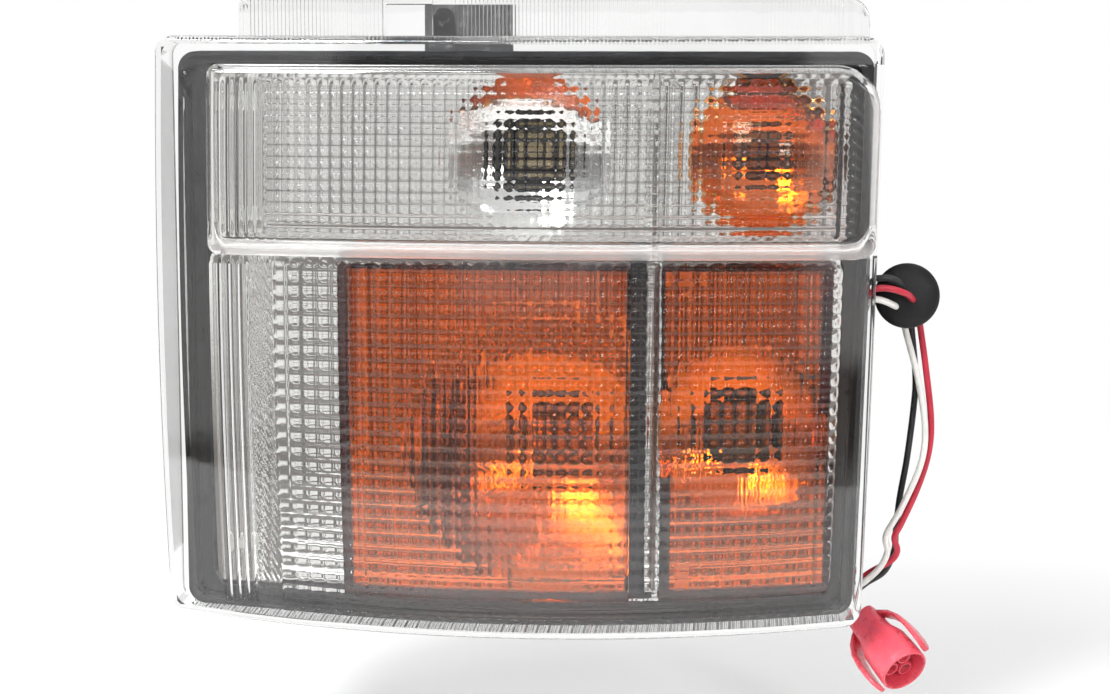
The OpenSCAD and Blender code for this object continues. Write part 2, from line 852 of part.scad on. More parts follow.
housing();
outer_lens();
lens_seal();
upper_reflector();
lower_reflector();
light_baffle();
amber_lens_turn();
amber_lens_side();
amber_dome();
reflector_screws();
mounting_studs();
top_bracket();
bracket_screws();
breather_tubes();
lead_sleeves();
cable_clips();
splice_boot();
harness_sleeve();
wire_red();
wire_white();
wire_black();
grommet();
connector_housing();
connector_terminals();
for (s = STATIONS) {
    at_station(s) holder();
    at_station(s) seal();
    at_station(s) shell();
    at_station(s) contact();
    at_station(s) spring();
    at_station(s) bulb_base();
    at_station(s) bulb_glass(s);
    at_station(s) filament(s);
}
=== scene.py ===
"""Looks of the front corner combination lamp: clear prism lens, amber lenses, bright bowls, wiring.

Lengths are millimetres in the code and become metres when a mesh is made.
"""
import json
import math

import bmesh
import bpy
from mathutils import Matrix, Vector
from mathutils.geometry import delaunay_2d_cdt


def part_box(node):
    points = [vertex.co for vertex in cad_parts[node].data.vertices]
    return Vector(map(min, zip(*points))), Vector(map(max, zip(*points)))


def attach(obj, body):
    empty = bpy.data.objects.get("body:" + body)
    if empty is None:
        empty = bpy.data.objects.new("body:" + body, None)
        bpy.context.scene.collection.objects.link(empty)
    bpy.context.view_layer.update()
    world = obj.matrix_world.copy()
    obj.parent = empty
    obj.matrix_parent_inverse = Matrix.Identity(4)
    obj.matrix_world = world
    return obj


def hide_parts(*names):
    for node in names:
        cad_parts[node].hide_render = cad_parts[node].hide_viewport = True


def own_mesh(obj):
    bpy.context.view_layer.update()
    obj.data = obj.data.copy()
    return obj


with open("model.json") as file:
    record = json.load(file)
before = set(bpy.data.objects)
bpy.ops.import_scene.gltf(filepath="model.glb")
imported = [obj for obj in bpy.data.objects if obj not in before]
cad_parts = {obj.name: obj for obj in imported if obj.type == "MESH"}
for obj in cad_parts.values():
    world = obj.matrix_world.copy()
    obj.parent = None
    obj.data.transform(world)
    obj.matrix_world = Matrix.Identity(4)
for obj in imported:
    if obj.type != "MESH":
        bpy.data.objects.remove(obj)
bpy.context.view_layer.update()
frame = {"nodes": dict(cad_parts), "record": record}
MM = 0.001


def box_mm(node):
    """Lowest and highest corner of a CAD node, in millimetres."""
    low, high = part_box(node)
    return Vector(low) / MM, Vector(high) / MM


# ---------------------------------------------------------------- sizes

LENS_LOW, LENS_HIGH = box_mm("outer_lens")
LEDGE_HEIGHT = 12.7
LEFT = LENS_LOW.x
RIGHT_TOP = LENS_HIGH.x
RIGHT_BOTTOM = RIGHT_TOP - 4.6
TOP = LENS_HIGH.z - LEDGE_HEIGHT
BOTTOM = LENS_LOW.z
BOW_RADIUS = 1440
BOW_X = -5
CORNER = 7
FRONT_RADIUS = 620
CROWN = Vector((8, FRONT_RADIUS - 94, 20))
STEP_OUT = 9
WALL = 2.8
SKIRT_WALL = 2.5
SKIRT_BACK = -55
TONGUE_BACK = -58.5
SEAM = 0.02                    # gap between walls of the lens that are modelled apart

WINDOW_LEFT = -104.5
WINDOW_BOTTOM = 29.3
WINDOW_TOP = TOP - 9.2
WINDOW_RIGHT_GAP = 1
WINDOW_CORNER = 15
WINDOW_LOW_CORNER = 6
WINDOW_LEFT_CORNER = 3.5
WINDOW_SILL = 5.5              # height of the rounded lower edge of the window

CELL_X = 5.2                   # pillow prisms of the lower face
CELL_Z = 5.0
CELLS_START = -82.6
CELL_COLUMNS = 36
CELL_ROWS = 24
CELLS_END = CELLS_START + CELL_COLUMNS * CELL_X
CELLS_BOTTOM = BOTTOM + 8
CELLS_TOP = CELLS_BOTTOM + CELL_ROWS * CELL_Z
FLUTE = 3.2
HATCH_START = -91.7
HATCH = 1.9
WINDOW_CELL = 3.9              # pillow prisms of the window, left of the rib
WINDOW_CELL_WIDE = 4.8         # and right of it
WINDOW_ROW = 4.1
WINDOW_COLUMNS = 33
WINDOW_WIDE_COLUMNS = 14
WINDOW_ROWS = 13
WINDOW_FLUTES_START = WINDOW_LEFT + 2.5
WINDOW_CELLS_START = -86.0
WINDOW_CHANGE = WINDOW_CELLS_START + WINDOW_COLUMNS * WINDOW_CELL
WINDOW_CELLS_END = WINDOW_CHANGE + WINDOW_WIDE_COLUMNS * WINDOW_CELL_WIDE
WINDOW_ROWS_BOTTOM = WINDOW_BOTTOM + WINDOW_SILL
WINDOW_ROWS_TOP = WINDOW_ROWS_BOTTOM + WINDOW_ROWS * WINDOW_ROW
WINDOW_NOMINAL_RIGHT = RIGHT_TOP - WINDOW_RIGHT_GAP
RIB_X = 44.0
RIB_HALF = 0.9
RIB_LOW = -86
RIB_BACK = -84
FINE_FLUTE = 1.33
RIDGE = 0.2                    # height and half width of the ridges between the prisms
RIDGE_HALF = 0.22
RIDGE_FROM = 0.97              # where a ridge starts, from a cell's centre at 0 to its border at 1
TONGUE_INSETS = (8.7, 5.2, 8.0, 5.5)
TONGUE_WALL = 1.8

TRAY_FRONT = -60
AMBER_OUT = FRONT_RADIUS - 12
AMBER_WALL = 2.2
AMBER_TOP = 25.4
AMBER_INSET = 0.8              # of its lower edge from the tray's
AMBER_FLUTE = 4.1
TURN_SPAN = (-62.7, 35.2)      # left and right of the two amber lenses
SIDE_SPAN = (45.6, 101.5)
DOME_RADIUS = 26.5


def crown_y(radius, x, z):
    """Depth of the crowned face of a given radius at x, z."""
    return CROWN.y - math.sqrt(radius ** 2 - (x - CROWN.x) ** 2 - (z - CROWN.z) ** 2)


def right_x(z):
    return RIGHT_BOTTOM + (RIGHT_TOP - RIGHT_BOTTOM) * (z - BOTTOM) / (TOP - BOTTOM)


def bow(x):
    """Rise of the bowed bottom edge above its lowest point."""
    return BOW_RADIUS - math.sqrt(BOW_RADIUS ** 2 - (x - BOW_X) ** 2)


def steps(start, end, count):
    return [start + (end - start) * i / count for i in range(count + 1)]


def joined(*parts):
    """Joins lists of positions whose ends meet, keeping each position once."""
    out = [parts[0][0]]
    for part in parts:
        out += [v for v in part if v > out[-1] + 1e-4]
    return out


# ---------------------------------------------------------------- mesh helpers

def make_object(name, verts, faces, sharp=35):
    """Mesh object from millimetre points, smooth except over edges sharper than the given angle."""
    mesh = bpy.data.meshes.new(name)
    mesh.from_pydata([tuple(c * MM for c in v) for v in verts], [], faces)
    mesh.validate()
    mesh.shade_smooth()
    mesh.set_sharp_from_angle(angle=math.radians(sharp))
    obj = bpy.data.objects.new(name, mesh)
    bpy.context.scene.collection.objects.link(obj)
    return obj


def edit_mesh(obj, change):
    """Applies change(bm) to the mesh of an object."""
    bm = bmesh.new()
    bm.from_mesh(obj.data)
    change(bm)
    bm.to_mesh(obj.data)
    bm.free()


def weld(obj, sharp):
    """Merges points that coincide and drops the pairs of faces that end up inside the solid."""
    def change(bm):
        bmesh.ops.remove_doubles(bm, verts=bm.verts, dist=2e-6)
        seen = {}
        for face in bm.faces:
            seen.setdefault(frozenset(v.index for v in face.verts), []).append(face)
        twins = [f for group in seen.values() if len(group) > 1 for f in group]
        bmesh.ops.delete(bm, geom=twins, context="FACES")

    edit_mesh(obj, change)
    obj.data.shade_smooth()
    obj.data.set_sharp_from_angle(angle=math.radians(sharp))


def fix_normals(obj):
    edit_mesh(obj, lambda bm: bmesh.ops.recalc_face_normals(bm, faces=bm.faces))


def face_forward(obj):
    """Turns every face so that its normal looks towards the front."""
    def change(bm):
        for face in bm.faces:
            if face.normal.y > 0:
                face.normal_flip()

    edit_mesh(obj, change)


def join(name, objects):
    """Makes one object of several."""
    with bpy.context.temp_override(active_object=objects[0], selected_editable_objects=objects,
                                   selected_objects=objects):
        bpy.ops.object.join()
    objects[0].name = name
    objects[0].data.name = name
    return objects[0]


def skins(rows, cols, hollow=None):
    """Faces of a front grid and of the back grid after it. hollow(i, j) leaves a cell of the back open."""
    far = rows * cols
    faces = []
    for j in range(rows - 1):
        for i in range(cols - 1):
            a = j * cols + i
            b, c, d = a + 1, a + cols + 1, a + cols
            faces.append((a, b, c, d))
            if hollow is None or not hollow(i, j):
                faces.append((far + a, far + d, far + c, far + b))
    return faces


def slab(name, xs, zs, front, back, sharp=35, rims="lrbt", hollow=None):
    """Slab over a grid of nominal positions. front and back give a point for each x, z.

    rims says which sides are closed. hollow(x, z) is true where another wall grows out of the back.
    """
    rows, cols = len(zs), len(xs)
    verts = [front(x, z) for z in zs for x in xs] + [back(x, z) for z in zs for x in xs]
    far = rows * cols

    def open_back(i, j):
        return hollow is not None and hollow((xs[i] + xs[i + 1]) / 2, (zs[j] + zs[j + 1]) / 2)

    faces = skins(rows, cols, open_back)
    for i in range(cols - 1):
        top = (rows - 1) * cols + i
        if "b" in rims:
            faces.append((i, far + i, far + i + 1, i + 1))
        if "t" in rims:
            faces.append((top, top + 1, far + top + 1, far + top))
    for j in range(rows - 1):
        a = j * cols
        b = a + cols - 1
        if "l" in rims:
            faces.append((a, a + cols, far + a + cols, far + a))
        if "r" in rims:
            faces.append((b, far + b, far + b + cols, b + cols))
    return make_object(name, verts, faces, sharp)


def cap(name, xs, zs, outer, inner, outer_foot, inner_foot, sharp=35):
    """Dish over a grid: an outer and an inner skin, and walls that run back from their edges to a foot."""
    cols, rows = len(xs), len(zs)
    verts = [outer(x, z) for z in zs for x in xs] + [inner(x, z) for z in zs for x in xs]
    half = rows * cols
    faces = skins(rows, cols)
    ring = (list(range(cols)) + [j * cols + cols - 1 for j in range(1, rows)]
            + [(rows - 1) * cols + i for i in range(cols - 2, -1, -1)]
            + [j * cols for j in range(rows - 2, 0, -1)])
    count = len(ring)
    verts += [outer_foot(*verts[k]) for k in ring] + [inner_foot(*verts[half + k]) for k in ring]
    far = [(verts[k][0], inner_foot(*verts[k])[1], verts[k][2]) for k in ring]
    verts += far
    first, second, third = 2 * half, 2 * half + count, 2 * half + 2 * count
    for k in range(count):
        n = (k + 1) % count
        faces.append((ring[k], first + k, first + n, ring[n]))
        faces.append((half + ring[k], half + ring[n], second + n, second + k))
        faces.append((third + k, second + k, second + n, third + n))
    return make_object(name, verts, faces, sharp)


def ring_faces(count, rings, closed):
    """Faces between rings of points that follow one another."""
    faces = []
    for k in range(rings if closed else rings - 1):
        here, there = k * count, ((k + 1) % rings) * count
        for i in range(count):
            n = (i + 1) % count
            faces.append((here + i, here + n, there + n, there + i))
    return faces


def band(name, loops, sharp=40, closed=True):
    """Ring solid through loops of equal length that run clockwise seen from the front."""
    return make_object(name, [p for loop in loops for p in loop],
                       ring_faces(len(loops[0]), len(loops), closed), sharp)


def loft(name, loops, sharp=40):
    """Closed solid through loops of equal length, capped at both ends."""
    count = len(loops[0])
    verts = [p for loop in loops for p in loop]
    faces = ring_faces(count, len(loops), False)
    faces.append(tuple(reversed(range(count))))
    faces.append(tuple(range(len(verts) - count, len(verts))))
    return make_object(name, verts, faces, sharp)


def smooth_path(points):
    """Points on a smooth curve through the given ones."""
    pts = [Vector(p) for p in points]
    pts = [2 * pts[0] - pts[1]] + pts + [2 * pts[-1] - pts[-2]]
    out = []
    for i in range(1, len(pts) - 2):
        p0, p1, p2, p3 = pts[i - 1:i + 3]
        for t in steps(0, 1, 10)[:-1]:
            out.append(0.5 * ((2 * p1) + (p2 - p0) * t + (2 * p0 - 5 * p1 + 4 * p2 - p3) * t * t
                              + (3 * p1 - p0 - 3 * p2 + p3) * t ** 3))
    out.append(pts[-2])
    return out


def circle(center, side, other, radius, sides):
    """Points round a centre in the plane of two unit vectors."""
    turns = [2 * math.pi * k / sides for k in range(sides)]
    return [center + radius * (math.cos(a) * side + math.sin(a) * other) for a in turns]


def tube(name, path, radius, sides=20):
    """Round bar along a path, with its ends closed."""
    side = (path[1] - path[0]).orthogonal().normalized()
    loops = []
    for i, p in enumerate(path):
        ahead = (path[min(i + 1, len(path) - 1)] - path[max(i - 1, 0)]).normalized()
        side = (side - side.dot(ahead) * ahead).normalized()
        loops.append(circle(p, side, ahead.cross(side), radius, sides))
    return loft(name, loops, 50)


def lathe(name, profile, origin, axis, sides=96):
    """Closed solid of revolution of a profile of (radius, height) points about an axis."""
    up = Vector(axis).normalized()
    side = up.orthogonal().normalized()
    loops = [circle(Vector(origin) + h * up, side, up.cross(side), r, sides) for r, h in profile]
    return band(name, loops)


# ---------------------------------------------------------------- outer lens

def nominal_place(x, z):
    """Bends the nominal grid to the lamp's outline: the right edge leans and the bottom edge bows."""
    if z < WINDOW_BOTTOM:
        pull = ((WINDOW_BOTTOM - z) / (WINDOW_BOTTOM - BOTTOM)) ** 1.5
        z = z + pull * bow(x)
    x = LEFT + (x - LEFT) * (right_x(z) - LEFT) / (RIGHT_TOP - LEFT)
    return round_corner(x, z)


def round_corner(x, z):
    """Pulls a point that lies outside a rounded corner of the outline onto its arc."""
    low = BOTTOM + bow(x)
    right = right_x(z)
    cx = LEFT + CORNER if x < LEFT + CORNER else right - CORNER if x > right - CORNER else None
    cz = low + CORNER if z < low + CORNER else TOP - CORNER if z > TOP - CORNER else None
    if cx is None or cz is None:
        return x, z
    d = Vector((x - cx, z - cz))
    if d.length <= CORNER:
        return x, z
    d *= CORNER / d.length
    return cx + d.x, cz + d.y


def edge_drop(distance, radius):
    """How far a rounded edge falls back at a distance from the boundary."""
    if distance >= radius:
        return 0
    return radius - math.sqrt(max(radius ** 2 - (radius - distance) ** 2, 0))


def outline_distance(x, z):
    """Distance of a point from the straight sides of the outline."""
    return min(x - LEFT, right_x(z) - x, TOP - z, z - BOTTOM - bow(x))


def pillow(u, v, height):
    """Cushion over one cell, with u and v from -1 to 1, and a fine ridge round its border."""
    ridge = RIDGE if max(abs(u), abs(v)) > RIDGE_FROM else 0
    return height * (1 - (u * u + v * v) / 2) + ridge


def cell_steps(start, pitch, count):
    """Grid positions for a run of cells: a fine pair round each border and three across the cushion."""
    shares = (0, RIDGE_HALF / pitch, 0.27, 0.5, 0.73, 1 - RIDGE_HALF / pitch)
    return [start + (k + share) * pitch for k in range(count) for share in shares] + [start + count * pitch]


def cell_place(value, start, pitch):
    """Position inside a cell, from -1 to 1."""
    return 2 * (((value - start) / pitch + 1e-6) % 1.0) - 1


def lower_relief(x, z):
    """Height of the prisms behind the lower part of the face."""
    if z < CELLS_BOTTOM or z > CELLS_TOP or x > CELLS_END or x < WINDOW_LEFT:
        return 0
    if x < HATCH_START:
        return 0.9 * abs(math.sin(math.pi * (x - WINDOW_LEFT) / FLUTE))
    if x < CELLS_START:
        return 0.3 * abs(math.sin(math.pi * (x - HATCH_START + 0.5 * z) / HATCH))
    return pillow(cell_place(x, CELLS_START, CELL_X), cell_place(z, CELLS_BOTTOM, CELL_Z), 1.3)


def face_front(x, z):
    px, pz = nominal_place(x, z)
    return px, crown_y(FRONT_RADIUS, px, pz) + edge_drop(outline_distance(px, pz), 2.2), pz


def face_back(x, z):
    px, pz = nominal_place(x, z)
    return px, crown_y(FRONT_RADIUS - WALL, px, pz) + lower_relief(x, z), pz


def edge_positions(start, direction):
    return [start + direction * d for d in (0, 0.35, 0.8, 1.4, 2.2, SKIRT_WALL, 3.4, 5.2, 7)]


def under_skirt(x, z):
    """True where the skirt grows out of the back of the face."""
    return min(x - LEFT, RIGHT_TOP - x, TOP - z, z - BOTTOM) < SKIRT_WALL


def build_face():
    """The main wall of the lens, which leaves the window open."""
    left_part = joined(edge_positions(LEFT, 1), steps(LEFT + 7, WINDOW_LEFT, 8))
    lower_x = joined(
        left_part,
        steps(WINDOW_LEFT, HATCH_START, 24),
        steps(HATCH_START, CELLS_START, 20),
        cell_steps(CELLS_START, CELL_X, CELL_COLUMNS),
        steps(CELLS_END, RIGHT_TOP - 7, 5),
        sorted(edge_positions(RIGHT_TOP, -1)),
    )
    lower_z = joined(
        edge_positions(BOTTOM, 1),
        [BOTTOM + 7, CELLS_BOTTOM],
        cell_steps(CELLS_BOTTOM, CELL_Z, CELL_ROWS),
        steps(CELLS_TOP, WINDOW_BOTTOM, 2),
    )
    middle_z = steps(WINDOW_BOTTOM, WINDOW_TOP, 40)
    upper_z = [z for z in joined([WINDOW_TOP], sorted(edge_positions(TOP, -1))) if z >= WINDOW_TOP]
    upper_x = joined(steps(WINDOW_LEFT, RIGHT_TOP - 7, 60), sorted(edge_positions(RIGHT_TOP, -1)))
    parts = [
        slab("face_low", lower_x, lower_z, face_front, face_back, rims="lrb", hollow=under_skirt),
        slab("face_left", left_part, joined(middle_z, upper_z), face_front, face_back, rims="lt",
             hollow=under_skirt),
        slab("face_top", upper_x, upper_z, face_front, face_back, rims="rt", hollow=under_skirt),
    ]
    face = join("lens_face", parts)
    weld(face, 65)
    return face


def window_span(x, inset):
    """Lower and upper limit of the window at a given x, with its rounded corners."""
    low, high = WINDOW_BOTTOM + inset, WINDOW_TOP - inset
    right = right_x(60) - WINDOW_RIGHT_GAP - inset
    left_corner = edge_drop(x - WINDOW_LEFT - inset, WINDOW_LEFT_CORNER)
    low += edge_drop(right - x, WINDOW_LOW_CORNER) + left_corner
    high -= edge_drop(right - x, WINDOW_CORNER - inset) + left_corner
    return low, high


def window_relief(x, z):
    """Height of the prisms behind the window, in its nominal grid."""
    if z < WINDOW_ROWS_BOTTOM or z > WINDOW_ROWS_TOP or x > WINDOW_CELLS_END:
        return 0
    v = cell_place(z, WINDOW_ROWS_BOTTOM, WINDOW_ROW)
    if x <= WINDOW_FLUTES_START:
        return 0
    if x < WINDOW_CELLS_START:
        return 0.6 * abs(math.sin(math.pi * (x - WINDOW_FLUTES_START) / FLUTE))
    if x < WINDOW_CHANGE:
        return pillow(cell_place(x, WINDOW_CELLS_START, WINDOW_CELL), v, 0.95)
    return pillow(cell_place(x, WINDOW_CHANGE, WINDOW_CELL_WIDE), v, 1.1)


def window_place(x, z, inset):
    """Fits the nominal window grid between its lower and upper limits."""
    s = (x - WINDOW_LEFT) / (WINDOW_NOMINAL_RIGHT - WINDOW_LEFT)
    right = right_x(60) - WINDOW_RIGHT_GAP - inset
    px = WINDOW_LEFT + inset + s * (right - WINDOW_LEFT - inset)
    low, high = window_span(px, inset)
    t = (z - WINDOW_BOTTOM) / (WINDOW_TOP - WINDOW_BOTTOM)
    pz = low + t * (high - low)
    px -= (right_x(60) - right_x(pz)) * s
    return px, pz


def window_front(x, z):
    px, pz = window_place(x, z, 0)
    low, high = window_span(px, 0)
    right = right_x(pz) - WINDOW_RIGHT_GAP
    sill = edge_drop(pz - low, WINDOW_SILL) * 0.8
    rest = edge_drop(min(px - WINDOW_LEFT, right - px, high - pz), 3)
    return px, crown_y(FRONT_RADIUS + STEP_OUT, px, pz) + max(sill, rest), pz


def window_back(x, z):
    px, pz = window_place(x, z, WALL)
    low, _ = window_span(px, WALL)
    sill = edge_drop(pz - low, WINDOW_SILL - 1) * 0.8
    return px, crown_y(FRONT_RADIUS + STEP_OUT - WALL, px, pz) + sill + window_relief(x, z), pz


def build_window():
    """The raised window: a prismed front with side walls that reach back to the main face."""
    round_right = [WINDOW_NOMINAL_RIGHT - WINDOW_CORNER * (1 - math.sin(math.radians(a)))
                   for a in range(50, 91, 4)]
    xs = joined(
        [WINDOW_LEFT + d for d in (0, 0.2, 0.5, 1.0, 1.8, 2.5)],
        steps(WINDOW_FLUTES_START, WINDOW_CELLS_START, 30),
        cell_steps(WINDOW_CELLS_START, WINDOW_CELL, WINDOW_COLUMNS),
        cell_steps(WINDOW_CHANGE, WINDOW_CELL_WIDE, WINDOW_WIDE_COLUMNS),
        [x for x in round_right if x > WINDOW_CELLS_END + 0.3],
    )
    zs = joined(
        [WINDOW_BOTTOM + d for d in (0, 0.15, 0.4, 0.8, 1.4, 2.2, 3.2, 4.3, WINDOW_SILL)],
        cell_steps(WINDOW_ROWS_BOTTOM, WINDOW_ROW, WINDOW_ROWS),
        [WINDOW_TOP - d for d in (2.0, 1.3, 0.8, 0.3, 0)],
    )

    def outer_foot(x, y, z):
        return x, crown_y(FRONT_RADIUS, x, z), z

    def inner_foot(x, y, z):
        return x, crown_y(FRONT_RADIUS - WALL, x, z), z

    window = cap("lens_window", xs, zs, window_front, window_back, outer_foot, inner_foot, 65)
    frost = window.data.attributes.new("frost", "FLOAT", "POINT")
    right = right_x(60) - WINDOW_RIGHT_GAP
    for i, v in enumerate(window.data.vertices):
        x, z = v.co.x / MM, v.co.z / MM
        low, _ = window_span(min(x, right), 0)
        margin = min(z - low - 0.5, (right - x) + 2.0)
        frost.data[i].value = min(max((WINDOW_SILL - margin) / 1.5, 0), 1)
    return window


def outline_loop(insets, radius, pitch):
    """Points round the outline, moved in by left, right, top and bottom insets.

    Also returns for each point its inward direction and its distance along a top or bottom edge.
    """
    left, right, top, bottom = insets
    x0, z1 = LEFT + left, TOP - top
    points = []

    def corner(cx, cz, a0, a1):
        for i in range(9):
            a = math.radians(a0 + (a1 - a0) * i / 8)
            d = Vector((math.cos(a), math.sin(a)))
            points.append((cx + radius * d.x, cz + radius * d.y, -d, None))

    def low(x):
        return BOTTOM + bottom + bow(x)

    right_top = RIGHT_TOP - right
    right_low = RIGHT_BOTTOM - right
    top_z, right_z, left_z = z1 - radius, low(right_low - radius) + radius, low(x0 + radius) + radius
    across, upright = int((right_top - x0) / pitch), 40
    corner(x0 + radius, top_z, 180, 90)
    for x in steps(x0 + radius, right_top - radius, across)[1:-1]:
        points.append((x, z1, Vector((0, -1)), x))
    corner(right_top - radius, top_z, 90, 0)
    for t in steps(0, 1, upright)[1:-1]:
        points.append((right_top + (right_low - right_top) * t, top_z + (right_z - top_z) * t,
                       Vector((-1, 0)), None))
    corner(right_low - radius, right_z, 0, -90)
    for x in steps(right_low - radius, x0 + radius, across)[1:-1]:
        points.append((x, low(x), Vector((0, 1)), x))
    corner(x0 + radius, left_z, -90, -180)
    for z in steps(left_z, top_z, upright)[1:-1]:
        points.append((x0, z, Vector((1, 0)), None))
    return points


def build_skirt():
    """The wall round the lens, with fine flutes inside its top and bottom runs."""
    outline = outline_loop((0, 0, 0, 0), CORNER, FINE_FLUTE / 4)
    outer_front, outer_back, inner_back, inner_front = [], [], [], []
    for x, z, inward, along in outline:
        flute = 0.35 * abs(math.sin(math.pi * along / FINE_FLUTE)) if along is not None else 0
        ix = x + inward.x * (SKIRT_WALL + flute)
        iz = z + inward.y * (SKIRT_WALL + flute)
        outer_front.append((x, crown_y(FRONT_RADIUS - WALL, x, z) + SEAM, z))
        outer_back.append((x, SKIRT_BACK, z))
        inner_back.append((ix, SKIRT_BACK, iz))
        inner_front.append((ix, crown_y(FRONT_RADIUS - WALL, ix, iz) + SEAM, iz))
    return band("lens_skirt", [outer_front, outer_back, inner_back, inner_front], 50, closed=False)


def build_tongue():
    """The leg of the lens that stands in the glue channel."""
    def loop(insets, radius, depth):
        return [(x, depth if depth else crown_y(FRONT_RADIUS - WALL, x, z) + SEAM, z)
                for x, z, _, _ in outline_loop(insets, radius, 4)]

    inner = tuple(v + TONGUE_WALL for v in TONGUE_INSETS)
    loops = [loop(TONGUE_INSETS, 4, None), loop(TONGUE_INSETS, 4, TONGUE_BACK),
             loop(inner, 2.6, TONGUE_BACK), loop(inner, 2.6, None)]
    return band("lens_tongue", loops, 50)


def build_rib():
    """The thin rib behind the face that parts the two bulb rooms."""
    def front(x, z):
        lift = STEP_OUT if z > WINDOW_BOTTOM + 1.5 else 0
        return x, crown_y(FRONT_RADIUS + lift - WALL, x, z) + 0.8, z

    def back(x, z):
        return x, RIB_BACK, z

    zs = joined(steps(RIB_LOW, WINDOW_BOTTOM + 1.4, 24), steps(WINDOW_BOTTOM + 1.6, WINDOW_TOP - 3, 12))
    return slab("lens_rib", [RIB_X - RIB_HALF, RIB_X, RIB_X + RIB_HALF], zs, front, back)


LEDGE_LEFT = -99.4
LEDGE_RIGHT = 114.0
LEDGE_LEFT_CORNER = 3
LEDGE_RIGHT_CORNER = 8
LEDGE_FRONT = -58
LEDGE_WALL = 3
SLOT_X = -29.2
SLOT_HALF = 3.9
SLOT_Z = 106.5
PAD_LEFT = -49


def ledge_top(x):
    """Upper edge of the ledge with its rounded ends."""
    return (LENS_HIGH.z - edge_drop(x - LEDGE_LEFT, LEDGE_LEFT_CORNER)
            - edge_drop(LEDGE_RIGHT - x, LEDGE_RIGHT_CORNER))


def build_ledge():
    """The clear set-back ledge: a fluted front, a smooth pad beside the slot, and a rear lip."""
    def flute(x):
        if PAD_LEFT - 1 < x < SLOT_X + SLOT_HALF + 1:
            return 0
        return 0.45 * abs(math.sin(math.pi * x / FINE_FLUTE))

    def low_edge(x):
        reach = abs(x - SLOT_X)
        if reach >= SLOT_HALF:
            return TOP - 2.4
        return SLOT_Z + math.sqrt(SLOT_HALF ** 2 - reach ** 2)

    def front(x, t):
        z = low_edge(x) + (ledge_top(x) - low_edge(x)) * t
        pad = 0.5 if PAD_LEFT < x < SLOT_X - SLOT_HALF and 0.12 < t < 0.85 else 0
        return x, LEDGE_FRONT - pad + edge_drop(ledge_top(x) - z, 0.9), z

    def back(x, t):
        z = low_edge(x) + (ledge_top(x) - low_edge(x)) * t
        return x, LEDGE_FRONT + LEDGE_WALL - flute(x), z

    ts = [0, 0.12, 0.14, 0.4, 0.7, 0.83, 0.85, 0.93, 0.96, 0.98, 1]
    slot_left, slot_right = SLOT_X - SLOT_HALF, SLOT_X + SLOT_HALF
    ends_left = [LEDGE_LEFT + LEDGE_LEFT_CORNER * (1 - math.cos(math.radians(a))) for a in range(0, 91, 10)]
    ends_right = [LEDGE_RIGHT - LEDGE_RIGHT_CORNER * (1 - math.cos(math.radians(a)))
                  for a in range(90, -1, -10)]
    count_left = int((slot_left - ends_left[-1]) / (FINE_FLUTE / 4))
    count_right = int((ends_right[0] - slot_right) / (FINE_FLUTE / 4))
    runs = [
        joined(ends_left, steps(ends_left[-1], slot_left, count_left)),
        steps(slot_left + 0.01, slot_right - 0.01, 20),
        joined(steps(slot_right, ends_right[0], count_right), ends_right),
    ]
    parts = [slab("ledge", run, ts, front, back, 50) for run in runs]

    def lip_out(x, y):
        return x, y, ledge_top(x)

    def lip_in(x, y):
        return x, y, ledge_top(x) - 2

    lip_x = joined(ends_left, steps(ends_left[-1], ends_right[0], 60), ends_right)
    lip_y = [LEDGE_FRONT + LEDGE_WALL + SEAM, -52, LENS_HIGH.y]
    parts.append(slab("ledge_lip", lip_x, lip_y, lip_out, lip_in, 50))
    ledge = join("lens_ledge", parts)
    fix_normals(ledge)
    return ledge


# ---------------------------------------------------------------- optics

TURN = (7, -39, 50, 22, 15)         # bulb centre x, z, bowl radius, focal length and hole radius
SIDE = (72, -32.5, 29, 19, 15)
POSITION = (0, 60, 27, 16, 15)
MARKER = (78.5, 61, 23.5, 12, 10.5)
SPLIT_Z = 28.5
DIVIDER_X = 36
# insets of the reflector tray from the lens outline: left, right, top, bottom
TRAY = (15.6, 11.4, 13.1, 11.1)
TRAY_WALL = 1.4
BOWL_RINGS = 24
BOWL_SIDES = 180


def tray_outline(low, high):
    """Outline of the tray between two heights, as points going round."""
    x0 = LEFT + TRAY[0]
    top = min(high, TOP - TRAY[2])

    def x1(z):
        return right_x(z) - TRAY[1]

    if low is None:
        xs = steps(x0, x1(-80), 40)
        points = [(x, BOTTOM + TRAY[3] + bow(x)) for x in xs]
    else:
        points = [(x0, low), (x1(low), low)]
    return points + [(x1(top), top), (x0, top)]


def bowl_depth(station, r):
    """How far the parabola lies behind the plate at a radius."""
    return (station[2] ** 2 - r ** 2) / (4 * station[3])


def bowl_rim(station, limit_x, a):
    """Radius of a bowl at an angle. It is less where the bowl is cut short at limit_x."""
    if limit_x is None or math.cos(a) <= 0:
        return station[2]
    return min(station[2], (limit_x - station[0]) / math.cos(a))


def bowl(name, station, limit_x):
    """Parabolic bowl behind the plate, cut short where it meets the divider."""
    cx, cz, _, _, hole = station
    verts, faces = [], []
    for k in range(BOWL_SIDES):
        a = 2 * math.pi * k / BOWL_SIDES
        for r in steps(hole, bowl_rim(station, limit_x, a), BOWL_RINGS):
            verts.append((cx + r * math.cos(a), TRAY_FRONT + bowl_depth(station, r), cz + r * math.sin(a)))
    for k in range(BOWL_SIDES):
        n = (k + 1) % BOWL_SIDES
        for i in range(BOWL_RINGS):
            a, b = k * (BOWL_RINGS + 1) + i, n * (BOWL_RINGS + 1) + i
            faces.append((a, b, b + 1, a + 1))
    return make_object(name, verts, faces, 40)


